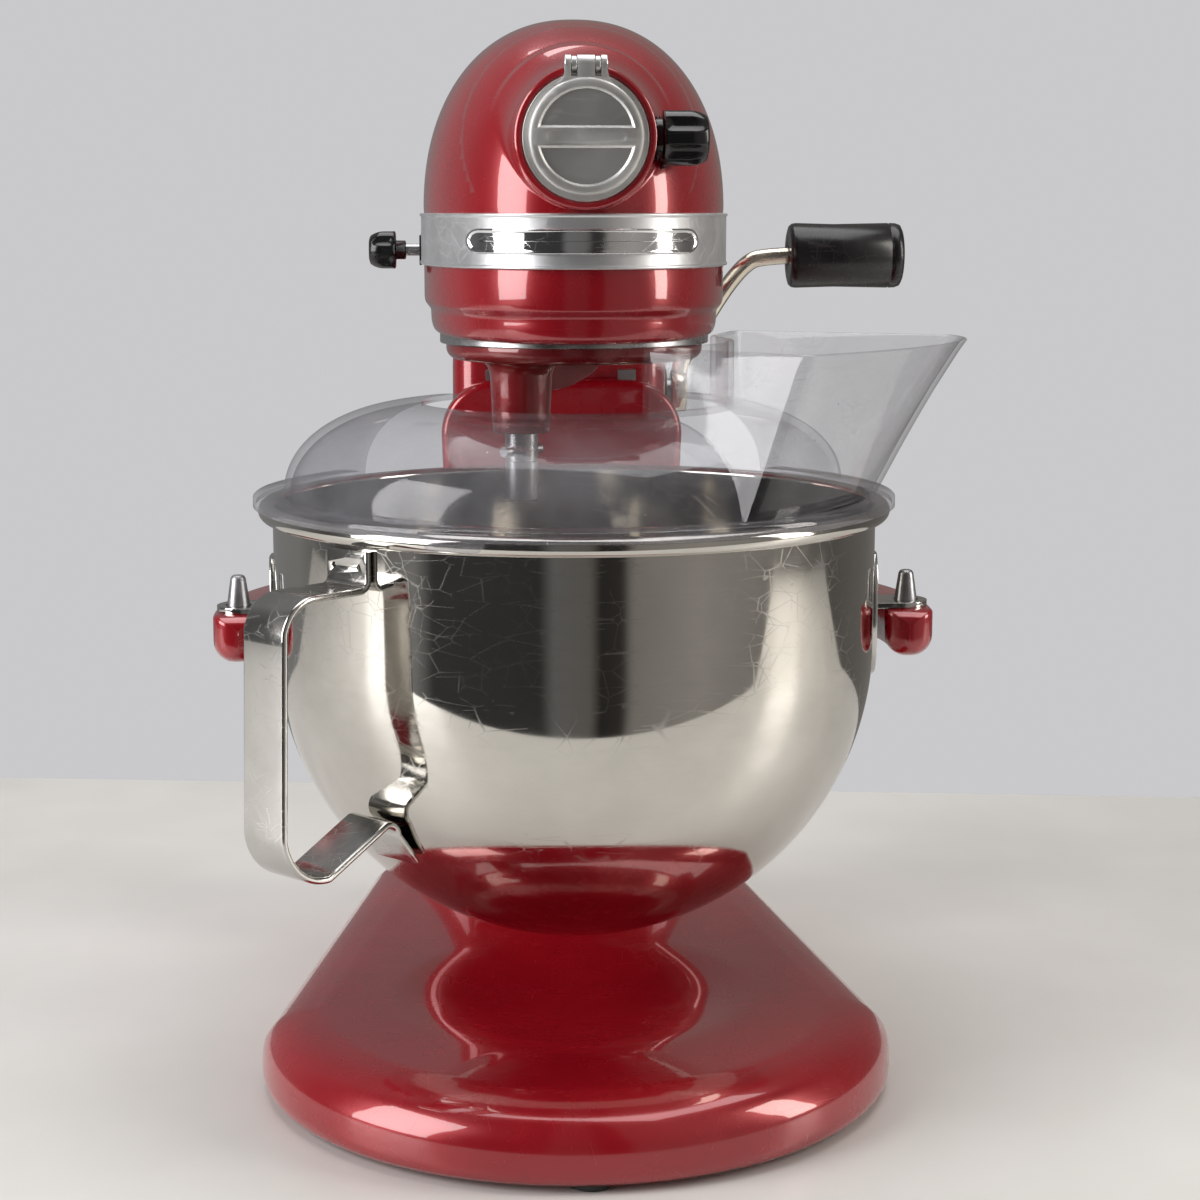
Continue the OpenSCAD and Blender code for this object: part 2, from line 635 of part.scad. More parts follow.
module beater_pinion() color("gray") translate(concat(beater_at, gear_z)) rotate(beater_turn) difference() {
    linear_extrude(gear_t) polygon(gear(pinion_teeth, ring_tooth));
    translate([0, 0, -1]) cylinder(r = beater_r, h = 20);
}
module centre_shaft() color("silver") translate([0, 0, disc_z])
    cylinder(r = shaft_r, h = crown_z + 5 - disc_z);
module centre_gear() color("gray") translate([0, 0, centre_z]) difference() {
    rotate(idler_dir) linear_extrude(gear_t) polygon(gear(centre_teeth, tooth));
    translate([0, 0, -1]) cylinder(r = shaft_r, h = 20);
}
module crown_gear() color("gray") {
    translate([0, 0, crown_z]) tube(crown_r + 4.5, shaft_r, crown_pitch - 2 - crown_z);
    for (i = [0:crown_teeth - 1]) rotate(-90 + (i + 0.5) * 360 / crown_teeth)
        translate([crown_r - 4.5, -0.85, crown_pitch - 2.5]) cube([8.9, 1.7, 3.8]);
}
module gearbox_plate() color("gainsboro") difference() {
    union() {
        translate([0, 0, plate_z]) linear_extrude(plate_t) intersection() {
            polygon(head_line(head_wall));
            translate([-100, -75]) square([200, 75 + motor_front]);
        }
        // the post the speed lever turns on
        translate(concat(lever_pivot, plate_z)) cylinder(r = lever_post_r, h = lever_z + 3 - plate_z);
    }
    translate([0, 0, plate_z - 1]) cylinder(r = shaft_r + run, h = 20);
    translate([idler_x, idler_y, plate_z - 1]) cylinder(r = idler_r + run, h = 20);
}
module idler_shaft() color("silver") translate([idler_x, idler_y, plate_z - 1])
    cylinder(r = idler_r, h = motor_z + 4 - plate_z);
module idler_pinion() color("gray") translate([idler_x, idler_y, centre_z - 0.5])
    rotate(idler_dir + 180 + 180 / idler_teeth) difference() {
        linear_extrude(gear_t + 1) polygon(gear(idler_teeth, tooth));
        translate([0, 0, -1]) cylinder(r = idler_r, h = 20);
    }
module worm_gear() color("goldenrod") translate([idler_x, idler_y, motor_z - 2.5]) difference() {
    linear_extrude(5) polygon(gear(worm_teeth, worm_pitch / PI, 0.36, 0.8, 1.1));
    translate([0, 0, -1]) cylinder(r = idler_r, h = 20);
}
module motor_worm() color("silver") translate([0, idler_y, motor_z]) rotate([-90, 0, 0]) {
    translate([0, 0, -worm_pitch * (worm_turns / 2 + 0.5)]) difference() {
        cylinder(r = worm_r - 1.7, h = worm_pitch * (worm_turns + 1));
        translate([0, 0, -1]) cylinder(r = motor_shaft_r, h = 60);
    }
    rotate(180) translate([0, 0, -worm_pitch * worm_turns / 2 + worm_pitch / 2])
        coil(worm_r - 0.9, 0.95, worm_pitch, worm_turns - 1, 8, 24);
}
module motor_shaft() color("silver") along_y([0, idler_y - 18, motor_z])
    cylinder(r = motor_shaft_r, h = motor_back + 6 - idler_y + 18);
module motor_rotor() color("darkgray") along_y([0, 98, motor_z]) difference() {
    tube(rotor_r, motor_shaft_r, 50);
    for (a = [0:30:330]) rotate(a) translate([rotor_r, 0, -1]) cylinder(r = 1.6, h = 60);
}
module motor_commutator() color("peru") along_y([0, 154, motor_z]) tube(12, motor_shaft_r, 16);
module motor_fan() color("whitesmoke") along_y([0, 76, motor_z]) {
    tube(9, motor_shaft_r, 10);
    for (a = [0:45:315]) rotate(a) translate([6, -0.8, 0]) cube([18, 1.6, 9]);
}
module motor_field() color("slategray") along_y([0, 100, motor_z]) difference() {
    cylinder(r = motor_r, h = 46);
    translate([0, 0, -1]) cylinder(r = rotor_r + 1, h = 60);
    for (s = [-1, 1]) translate([s * motor_r * 0.72 - 3, -8, -1]) cube([6, 16, 60]);
}
module motor_brackets() color("gainsboro") for (y = [motor_front, motor_back - 6])
    along_y([0, y, motor_z]) difference() {
        intersection() {
            cylinder(r = 52, h = 6);
            translate([-48, -(head_top - motor_z) + 30, 0]) cube([96, head_top - floor_z - 30, 6]);
        }
        translate([0, 0, -1]) cylinder(r = motor_shaft_r + run, h = 20);
        for (s = [-1, 1]) translate([s * 26, 0, -1]) cylinder(r = 9, h = 20);
        translate([link_x - 8, motor_z - link_z - 6, -1]) cube([20, 12, 20]);
    }
module brush_holders() color("#333333")
    for (s = [-1, 1]) along_x([s < 0 ? -36 : 14, brush_y, motor_z]) difference() {
        cylinder(r = 6, h = 22);
        translate([-3.5, -3.5, -1]) cube([7, 7, 24]);
    }
module carbon_brushes() color("#444444")
    for (s = [-1, 1]) translate([s < 0 ? -30 : 12.1, brush_y - 3.4, motor_z - 3.4]) cube([17.9, 6.8, 6.8]);
module speed_control_board() color("darkgreen")
    translate([-34, motor_back + 12, motor_z - 26]) difference() {
        cube([68, 2, 60]);
        translate([34, -1, 26]) rotate([-90, 0, 0]) cylinder(r = 8, h = 10);
    }
module hub_shaft() color("silver") {
    along_y([0, -hub_face + hub_depth + run, hub_z]) difference() {
        cylinder(r = hub_shaft_r, h = 10);
        translate([-4.8, -4.8, -1]) cube([9.6, 9.6, 8]);
    }
    along_y([0, -hub_face + hub_depth + 9, hub_z]) cylinder(r = 6, h = 40);
}
module hub_pinion() color("gray") along_y([0, -crown_r - 2.5, hub_z]) difference() {
    rotate(90) linear_extrude(5) polygon(gear(hub_teeth, tooth, 0.36));
    translate([0, 0, -1]) cylinder(r = 6, h = 20);
}

// --- bowl lift ---
module yoke() color("crimson") difference() {
    union() {
        // the slider, with rounded shoulders
        translate([0, slider_back, 0]) rotate([90, 0, 0]) linear_extrude(slider_back - slider_front)
            polygon(concat([[-slider_w / 2, arm_top - arm_h - 6], [slider_w / 2, arm_top - arm_h - 6]],
                arc([slider_w / 2 - 24, slider_top - 24], 24, 0, 90, 8),
                arc([-slider_w / 2 + 24, slider_top - 24], 24, 90, 180, 8)));
        // the arms, half a ring round the bowl, each with a rounded end
        rotate([0, 0, -4]) rotate_extrude(angle = 188) translate([arm_r, arm_top - arm_h]) arm_section();
        for (s = [-1, 1]) rotate(s < 0 ? 184 : -4) translate([arm_r, 0, arm_top - arm_h])
            cylinder(r = arm_w / 2 - 0.5, h = arm_h);
        // the tongue that reaches into the column
        translate([-tongue_w / 2, slider_back - 1, tongue_z])
            cube([tongue_w, keeper_y - slider_back + 1, tongue_h]);
    }
    for (s = [-1, 1]) translate([s * rail_x - rail_w / 2 - fit, slider_back - 4 - fit, 0])
        cube([rail_w + 2 * fit, 10, 400]);
    for (s = [-1, 1]) translate([s * arm_r, 0, arm_top - 12]) cylinder(r = 3, h = 20);
    translate([0, 0, arm_top - 60]) cylinder(r = bowl_r + 2, h = 100);
}
module arm_section() polygon(concat([[arm_w / 2, arm_h], [-arm_w / 2, arm_h]],
    arc([-arm_w / 2 + 6, 6], 6, 180, 270, 5), arc([arm_w / 2 - 6, 6], 6, 270, 360, 5)));
pin_h = 14;
module bowl_pins() color("silver") for (s = [-1, 1]) translate([s * arm_r, 0, arm_top]) {
    cylinder(r1 = pin_r, r2 = pin_r * 0.55, h = pin_h);
    translate([0, 0, -12]) cylinder(r = 3, h = 12.5);
}
module slide_keeper() color("silver") translate([-22, keeper_y, tongue_z - 4])
    cube([44, keeper_t, tongue_h + 8]);
module lift_rod() color("silver") difference() {
    pin_z = pivot_z + lift_travel / 2;
    union() {
        translate([-3, keeper_y + keeper_t, tongue_z]) cube([6, rod_y + 4 - keeper_y - keeper_t, tongue_h]);
        translate([-3, rod_y - 4, tongue_z]) cube([6, 8, pin_z - tongue_z - 4]);
        translate([-3, rod_y - eye_w / 2 - 3, pin_z - 9]) cube([6, eye_w + 6, 18]);
    }
    translate([-10, rod_y - eye_w / 2, pin_z - crank_pin_r - 3.2]) cube([20, eye_w, 2 * crank_pin_r + 6.4]);
}
module lift_spring() color("silver") translate([0, rod_y, tongue_z + tongue_h + 1.2])
    coil(7.2, 1, 5, 5, 6, 16);
module lift_shaft() color("silver") {
    a = 180 - lift_turn / 2;
    pin = [pivot_y + crank_r * cos(a), pivot_z + crank_r * sin(a)];
    along_x([4, pivot_y, pivot_z]) cylinder(r = lift_shaft_r, h = lever_x + 2);
    along_x([3.5, pivot_y, pivot_z]) cylinder(r = 10, h = 6);
    // the crank and its pin
    translate([4, pivot_y, pivot_z]) rotate([a, 0, 0]) translate([0, 0, -5]) cube([5, crank_r, 10]);
    along_x([3.5, pin[0], pin[1]]) cylinder(r = 6.5, h = 6);
    along_x([-4, pin[0], pin[1]]) cylinder(r = crank_pin_r, h = 9);
}
bend = [lever_x + 32, pivot_y - 3, grip_z - 3];
module lift_lever() color("silver") {
    along_x([lever_x - 0.5, pivot_y, pivot_z]) tube(lift_shaft_r + 3.5, lift_shaft_r, 7);
    bent_bar(smooth([[lever_x + 3, pivot_y, pivot_z + lift_shaft_r + 1],
                     [lever_x + 5, pivot_y, pivot_z + 16], bend, [grip_x - 7, grip_y, grip_z],
                     [grip_x + 20, grip_y, grip_z], [grip_x + grip_l - 8, grip_y, grip_z]]), lever_rod_r);
}
module lift_grip() color("#111111") along_x([grip_x, grip_y, grip_z]) difference() {
    rotate_extrude() polygon([[0, 0], [grip_r - 3, 0], [grip_r - 0.8, 0.8], [grip_r, 3],
        [grip_r - 0.6, grip_l * 0.4], [grip_r, grip_l - 3], [grip_r - 0.8, grip_l - 0.8],
        [grip_r - 3, grip_l], [0, grip_l]]);
    translate([0, 0, -1]) cylinder(r = lever_rod_r, h = grip_l - 8 + 1);
}

// --- bowl ---
module bowl_form(r) {
    difference() {
        translate([0, 0, bowl_mid]) sphere(r = r, $fn = 96);
        translate([-150, -150, bowl_mid]) cube(300);
    }
    translate([0, 0, bowl_mid]) cylinder(r = r, h = bead_z - bowl_mid, $fn = 96);
}
module bowl() color("lightgray") difference() {
    union() {
        bowl_form(bowl_r);
        translate([0, 0, bead_z]) rotate_extrude($fn = 96) translate([bead_mid, 0]) circle(r = bead_r);
    }
    bowl_form(bowl_r - bowl_wall);
    translate([0, 0, bead_z - 1]) cylinder(r = bowl_r - bowl_wall, h = 40, $fn = 96);
}
ear_t = 2.2;
module bowl_ears() color("lightgray") difference() {
    for (s = [-1, 1]) {
        translate([0, 0, arm_top]) linear_extrude(ear_t) {
            translate([s < 0 ? -arm_r : bowl_r - 2, -11]) square([arm_r - bowl_r + 2, 22]);
            translate([s * arm_r, 0]) circle(r = 8.5);
        }
        intersection() {
            translate([0, 0, arm_top - 30]) tube(bowl_r + 1.8, bowl_r, 54, $fn = 192);
            translate([s < 0 ? -bowl_r - 10 : bowl_r - 20, 0, arm_top - 2]) rotate([90, 0, 90])
                linear_extrude(30) polygon([for (a = [0:15:345]) [17 * cos(a), 26 * sin(a)]]);
        }
    }
    for (s = [-1, 1]) translate([s * arm_r, 0, arm_top - 5]) cylinder(r = pin_r + 0.3, h = 20);
    translate([0, 0, arm_top - 40]) cylinder(r = bowl_r, h = 80, $fn = 192);
}
// The handle is one bent strap in a plane through the bowl's axis: points are (distance, height).
function strap_side(path, d) = [for (i = [0:len(path) - 1])
    let (t = path[min(i + 1, len(path) - 1)] - path[max(i - 1, 0)], u = t / norm(t))
    path[i] + d * [-u[1], u[0]]];
strap_in = bowl_r + strap_t / 2 + 0.05;
strap_out = bowl_r + handle_reach + 3;
strap_low = bowl_mid - 56;
low_r = sqrt(bowl_r * bowl_r - (bowl_mid - strap_low) * (bowl_mid - strap_low)) + strap_t / 2 + 0.1;
strap_path = concat([[strap_in, bead_z - bead_r - 1.5]], arc([strap_in + 4, bead_z - 15], 4, 180, 270, 4),
    arc([strap_out - 16, bead_z - 33], 14, 90, 12, 8), arc([strap_out - 20, strap_low + 8], 20, -6, -92, 8),
    arc([low_r + 6, strap_low - 3], 5, 80, 175, 5), [[low_r - 8, strap_low - 14.5]]);
module bowl_handle() color("lightgray") rotate(-90 - handle_turn) rotate([90, 0, 0])
    translate([0, 0, -strap_w / 2]) difference() {
        linear_extrude(strap_w) polygon(concat(strap_side(strap_path, strap_t / 2),
            [for (i = [len(strap_path) - 1:-1:0]) strap_side(strap_path, -strap_t / 2)[i]]));
        for (k = [-0.3, 0.3]) translate([strap_in - 5, bead_z - 11, strap_w * (0.5 + k)]) rotate([0, 90, 0])
            cylinder(r = 1.1, h = 10);
    }

// --- pouring shield ---
// Height of the dome's outer face, measured from the flange, at radius r.
function dome_z(r) = let (u = (r - shield_hole_r) / (flange_in - shield_hole_r))
    flange_z + shield_t + (shield_h - shield_t) * pow(max(0, 1 - pow(max(0, u), 2.1)), 1 / 2.1);
dome_r = [for (i = [0:10]) lerp(shield_hole_r, flange_in, sin(9 * i))];
dome_out = concat([for (r = dome_r) [r, dome_z(r)]], [[flange_out, flange_z + shield_t],
    [flange_out, flange_z - 2], [flange_out - 1.2, flange_z - 2], [flange_out - 1.2, flange_z]]);
dome_in = [for (i = [10:-1:0]) let (r = dome_r[i])
    [max(shield_hole_r, r - shield_t), dome_z(r) - shield_t]];
clip_turn = -112;

module pouring_shield() color("lightblue", 0.5) difference() {
    union() {
        rotate(shield_start) rotate_extrude(angle = shield_sweep, $fn = 96)
            polygon(concat(dome_out, dome_in));
        // the tab that hooks down over the rim
        rotate(clip_turn - 6) rotate_extrude(angle = 12, $fn = 96)
            translate([flange_out - 0.6, flange_z - 6]) square([1.5, 7.4]);
    }
    translate([0, 0, flange_z - 10]) linear_extrude(200) polygon(chute_loop(0, shield_t));
}
// The chute's outline: t is 0 where it stands on the shield and 1 at its mouth.
chute_az0 = -69;
chute_az1 = 24;
function polar(r, a) = r * [cos(a), sin(a)];
function chute_edge(t) =
    let (r0 = shield_hole_r + 0.5,
         a = polar(r0, chute_az0),
         b = lerp(polar(flange_in + 4, -61), [77, -108], t),
         c = lerp(polar(flange_in + 3.5, -4), [152, -12], t),
         d = lerp(polar(flange_in + 3, 14), [156, 30], t),
         e = lerp(polar(84, 34), [70, 70], t),
         f = polar(r0, chute_az1),
         bulge = lerp(0.138, 0.07, t))
    concat([for (i = [0:7]) lerp(a, b, i / 8)],
        [for (i = [0:11]) let (u = i / 12) lerp(b, c, u) * (1 + 4 * u * (1 - u) * bulge)],
        [for (i = [0:3]) lerp(c, d, i / 4) * (1 + sin(45 * i) * 0.02)],
        [for (i = [0:7]) lerp(d, e, i / 8)],
        [for (i = [0:2]) lerp(e, f, i / 3)],
        [for (i = [0:9]) polar(r0, lerp(chute_az1, chute_az0, i / 10))]);
function inset(loop, d) = let (n = len(loop)) [for (i = [0:n - 1])
    let (t = loop[(i + 1) % n] - loop[(i + n - 1) % n], u = t / norm(t)) loop[i] + d * [-u[1], u[0]]];
function chute_loop(t, d) = inset(chute_edge(t), d);
module pouring_chute() color("lightblue", 0.5) {
    foot = [for (p = chute_loop(0, 0)) [p[0], p[1], dome_z(norm(p)) + foot_gap]];
    foot_in = [for (p = chute_loop(0, shield_t)) [p[0], p[1], dome_z(norm(p)) + foot_gap]];
    ring_loft([foot, at_z(chute_loop(1, 0), chute_top), at_z(chute_loop(1, shield_t), chute_top), foot_in]);
}

base();
rubber_feet();
column();
column_bolts();
guide_rails();
lift_bush();
cord_gland();
head_lower_housing();
head_upper_housing();
rear_cover();
rear_cover_screw();
trim_band();
trim_badge();
hub_socket();
hub_hinge_pin();
hub_cover();
attachment_screw();
attachment_knob();
speed_slot_plate();
speed_lever();
speed_knob();
speed_link();
ring_gear();
drip_ring();
planetary();
beater_shaft();
beater_pinion();
beater_cross_pin();
centre_shaft();
centre_gear();
crown_gear();
gearbox_plate();
idler_shaft();
idler_pinion();
worm_gear();
motor_worm();
motor_shaft();
motor_rotor();
motor_commutator();
motor_fan();
motor_field();
motor_brackets();
brush_holders();
carbon_brushes();
speed_control_board();
hub_shaft();
hub_pinion();
yoke();
bowl_pins();
slide_keeper();
lift_rod();
lift_spring();
lift_shaft();
lift_lever();
lift_grip();
bowl();
bowl_ears();
bowl_handle();
pouring_shield();
pouring_chute();
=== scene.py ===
# %% [markdown]
# # A bowl-lift stand mixer in glossy red enamel and polished steel
#
# This lesson dresses a finished mechanical model of a kitchen stand mixer. The mechanical
# model already fixes every size and every motion. Here each visible piece gets a smooth,
# detailed mesh and each finish gets a procedural material. Sizes are written in millimetres,
# because that is how the castings are drawn, and turned into Blender's metres in one place.

# %% Load the frame
import math
import bpy
import bmesh
import numpy as np
from mathutils import Matrix, Vector


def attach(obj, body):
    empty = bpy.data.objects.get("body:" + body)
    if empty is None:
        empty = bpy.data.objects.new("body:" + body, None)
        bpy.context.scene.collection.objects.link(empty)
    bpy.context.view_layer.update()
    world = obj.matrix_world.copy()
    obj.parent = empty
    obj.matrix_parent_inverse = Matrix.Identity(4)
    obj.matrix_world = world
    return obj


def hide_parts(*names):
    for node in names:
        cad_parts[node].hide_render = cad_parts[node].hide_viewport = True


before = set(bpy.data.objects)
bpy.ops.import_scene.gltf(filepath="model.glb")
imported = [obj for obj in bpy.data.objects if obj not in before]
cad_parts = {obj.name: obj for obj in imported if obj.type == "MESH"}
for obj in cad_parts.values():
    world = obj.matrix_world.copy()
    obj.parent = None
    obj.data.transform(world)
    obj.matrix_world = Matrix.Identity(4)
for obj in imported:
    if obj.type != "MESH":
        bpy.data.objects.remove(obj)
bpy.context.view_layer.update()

# %% [markdown]
# ## From points and faces to a piece
#
# Nearly every casting here is a skin stretched over a stack of outlines, and every turned part
# is the same thing with circles for outlines. So one helper makes the skin, and another
# turns points and faces into an object that rides on its body and hides the plain solid that
# it stands for.

# %% The skin helpers
MM = 0.001


def skin(rings, first="fan", last="fan", around=False):
    """Points and faces over rings of equal length, in mm. around joins the last ring to the first."""
    rings = [np.asarray(ring, float) for ring in rings]
    count = len(rings[0])
    points = [tuple(p) for ring in rings for p in ring]
    pairs = [(k, k + 1) for k in range(len(rings) - 1)] + ([(len(rings) - 1, 0)] if around else [])
    faces = [(a * count + i, a * count + (i + 1) % count, b * count + (i + 1) % count, b * count + i)
             for a, b in pairs for i in range(count)]
    for ring, cap in ((0, first), (len(rings) - 1, last)):
        if around or cap is None:
            continue
        edge = [ring * count + i for i in range(count)]
        if cap == "flat":
            faces.append(tuple(edge))
        else:
            points.append(tuple(rings[ring].mean(0)) if cap == "fan" else tuple(cap))
            faces += [(edge[i], edge[(i + 1) % count], len(points) - 1) for i in range(count)]
    return points, faces


def joined(*shapes):
    """Several sets of points and faces as one."""
    points, faces = [], []
    for more_points, more_faces in shapes:
        faces += [tuple(i + len(points) for i in f) for f in more_faces]
        points += more_points
    return points, faces


def moved(shape, matrix):
    """The same skin, placed by a matrix whose lengths are in mm."""
    return [tuple(matrix @ Vector(p)) for p in shape[0]], shape[1]


# %% The piece helpers
def raw_object(name, shape):
    mesh = bpy.data.meshes.new(name)
    mesh.from_pydata([[c * MM for c in p] for p in shape[0]], [], shape[1])
    shaped = bmesh.new()
    shaped.from_mesh(mesh)
    bmesh.ops.remove_doubles(shaped, verts=shaped.verts, dist=1e-7)
    bmesh.ops.recalc_face_normals(shaped, faces=shaped.faces)
    shaped.to_mesh(mesh)
    shaped.free()
    made = bpy.data.objects.new(name, mesh)
    bpy.context.scene.collection.objects.link(made)
    return made


def settle(target):
    """Apply the modifiers, so that the mesh itself holds the finished shape."""
    graph = bpy.context.evaluated_depsgraph_get()
    done = bpy.data.meshes.new_from_object(target.evaluated_get(graph))
    target.modifiers.clear()
    target.data = done


def carve(target, shape, how="DIFFERENCE"):
    """Cut a shape out of a piece, add it, or keep only what they share."""
    tool = raw_object("tool", shape)
    step = target.modifiers.new("carve", "BOOLEAN")
    step.object = tool
    step.operation = how
    step.solver = "MANIFOLD"
    settle(target)
    bpy.data.objects.remove(tool)


def soften(target, width, segments=2, angle=40):
    """Round the hard edges, as casting, pressing and polishing do."""
    step = target.modifiers.new("soften", "BEVEL")
    step.width = width * MM
    step.segments = segments
    step.limit_method = "ANGLE"
    step.angle_limit = math.radians(angle)
    step.harden_normals = False
    settle(target)


def finish_piece(target, body, slot, material, *nodes, sharp=38):
    """Smooth shading, material, body and the solids that it stands for."""
    target.data.shade_smooth()
    target.data.set_sharp_from_angle(angle=math.radians(sharp))
    target.data.materials.clear()
    target.data.materials.append(material)
    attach(target, body)
    if nodes:
        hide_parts(*nodes)
    print(f"{target.name}: {len(target.data.polygons)} faces on {body}")
    return target


# %% Lines and turned shapes
def arc(centre, radius, start, end, steps=24):
    angles = np.radians(np.linspace(start, end, steps + 1))
    return np.column_stack([centre[0] + radius * np.cos(angles), centre[1] + radius * np.sin(angles)])


def even(outline, count):
    """The same closed outline with its points an equal distance apart."""
    closed = np.vstack([outline, outline[:1]])
    along = np.concatenate([[0], np.cumsum(np.linalg.norm(np.diff(closed, axis=0), axis=1))])
    places = np.linspace(0, along[-1], count, endpoint=False)
    return np.column_stack([np.interp(places, along, closed[:, k]) for k in range(closed.shape[1])])


def flowing(points, per=8):
    """A smooth curve that passes through every point."""
    p = np.asarray(points, float)
    p = np.vstack([2 * p[0] - p[1], p, 2 * p[-1] - p[-2]])
    curve = []
    for k in range(1, len(p) - 2):
        for t in np.linspace(0, 1, per, endpoint=False):
            curve.append(0.5 * (2 * p[k] + (p[k + 1] - p[k - 1]) * t
                                + (2 * p[k - 1] - 5 * p[k] + 4 * p[k + 1] - p[k + 2]) * t * t
                                + (3 * p[k] - p[k - 1] - 3 * p[k + 1] + p[k + 2]) * t ** 3))
    return np.vstack([curve, p[-2:-1]])


def at_height(outline, z):
    return np.column_stack([outline, np.full(len(outline), z)])


def turned(profile, steps=96, closed=False):
    """A lathe shape: profile is (radius, height) pairs, and a closed profile is a washer's section."""
    profile = np.asarray(profile, float)
    caps = []
    for end in (0, -1):
        on_axis = profile[end][0] < 1e-6
        caps.append((0, 0, profile[end][1]) if on_axis else "fan")
    if not closed:
        profile = profile[1 if caps[0] != "fan" else 0: -1 if caps[1] != "fan" else None]
    angles = np.radians(np.arange(steps) * 360 / steps)
    circle = np.column_stack([np.cos(angles), np.sin(angles)])
    return skin([at_height(r * circle, z) for r, z in profile], caps[0], caps[1], around=closed)


def block(low, high):
    """A plain box, used to cut with or to soften into a machined part."""
    (x0, y0, z0), (x1, y1, z1) = low, high
    ring = np.array([(x0, y0), (x1, y0), (x1, y1), (x0, y1)], float)
    return skin([at_height(ring, z0), at_height(ring, z1)], "flat", "flat")


def prism(outline, z0, z1):
    outline = np.asarray(outline, float)
    return skin([at_height(outline, z0), at_height(outline, z1)], "flat", "flat")


def aim(axis, place):
    """Turns a shape drawn along +Z to lie along an axis, with its foot at a place."""
    turns = {"x": Matrix.Rotation(math.pi / 2, 4, "Y"), "y": Matrix.Rotation(-math.pi / 2, 4, "X"),
             "-x": Matrix.Rotation(-math.pi / 2, 4, "Y"), "z": Matrix.Identity(4)}
    return Matrix.Translation(place) @ turns[axis]


# %% Plates that stand upright, holes and turned pieces
def upright(outline, depths):
    """A plate whose outline is (x, z) pairs, with a ring at each y in depths."""
    return skin([[(x, y, z) for x, z in outline] for y in depths], "flat", "flat")


def rod(radius, length, steps=64):
    """A plain cylinder that stands on the origin."""
    return turned([(0, 0), (radius, 0), (radius, length), (0, length)], steps)


def bore(target, radius, length, axis, place, steps=64):
    """Drill a round hole along an axis, from its foot at a place."""
    carve(target, moved(rod(radius, length, steps), aim(axis, place)))


def turned_piece(name, profile, axis, place, steps=72, closed=False):
    return raw_object(name, moved(turned(profile, steps, closed), aim(axis, place)))


print("helpers ready")

# %% [markdown]
# ## The effects that several finishes share
#
# A finish looks real when something small happens in it: polish that varies, hair-thin scratches,
# dust, a worn edge. Each of these effects is a node group with named inputs and outputs, so
# that the enamel, the steel and the plastics can each use it with their own strength.
# The groups read object coordinates. Those stay on the piece when it moves.

# %% Node helpers
def node(tree, kind, sockets=None, **settings):
    """A shader node with its settings, its constants and its incoming links in one call."""
    made = tree.nodes.new("ShaderNode" + kind)
    for key, value in settings.items():
        setattr(made, key, value)
    for key, value in (sockets or {}).items():
        if isinstance(value, bpy.types.NodeSocket):
            tree.links.new(value, made.inputs[key])
        else:
            made.inputs[key].default_value = value
    return made


def calc(tree, operation, a, b=0.0, clamp=False):
    return node(tree, "Math", {0: a, 1: b}, operation=operation, use_clamp=clamp).outputs[0]


def remap(tree, value, low, high, to_low=0.0, to_high=1.0):
    ranges = {"From Min": low, "From Max": high, "To Min": to_low, "To Max": to_high}
    return node(tree, "MapRange", {"Value": value, **ranges}).outputs["Result"]


def new_group(name, inputs, outputs):
    """An empty node group, with its sockets made and its two ends placed."""
    made = bpy.data.node_groups.new(name, "ShaderNodeTree")
    for label, value in inputs.items():
        socket = made.interface.new_socket(name=label, in_out="INPUT", socket_type="NodeSocketFloat")
        socket.default_value = value
    for label in outputs:
        made.interface.new_socket(name=label, in_out="OUTPUT", socket_type="NodeSocketFloat")
    start = made.nodes.new("NodeGroupInput")
    end = made.nodes.new("NodeGroupOutput")
    return made, start.outputs, end.inputs


def place_on(tree, rotation=(0, 0, 0), scale=(1, 1, 1)):
    where = node(tree, "TexCoord").outputs["Object"]
    placed = node(tree, "Mapping", {"Vector": where, "Rotation": rotation, "Scale": scale})
    return placed.outputs["Vector"]


def noise(tree, where, scale, detail, roughness=0.5):
    """A cloudy value, about 0.5 on average."""
    sockets = {"Vector": where, "Scale": scale, "Detail": detail, "Roughness": roughness}
    return node(tree, "TexNoise", sockets).outputs[0]


# %% Uneven polish
polish_inputs = {"Size mm": 40.0, "Low": 0.0, "High": 1.0}
polish, given, result = new_group("Uneven polish", polish_inputs, ["Value"])
size = calc(polish, "DIVIDE", 1000.0, given["Size mm"])
cloud = noise(polish, place_on(polish), size, 4.0, 0.6)
polish.links.new(remap(polish, cloud, 0.35, 0.68, given["Low"], given["High"]), result["Value"])

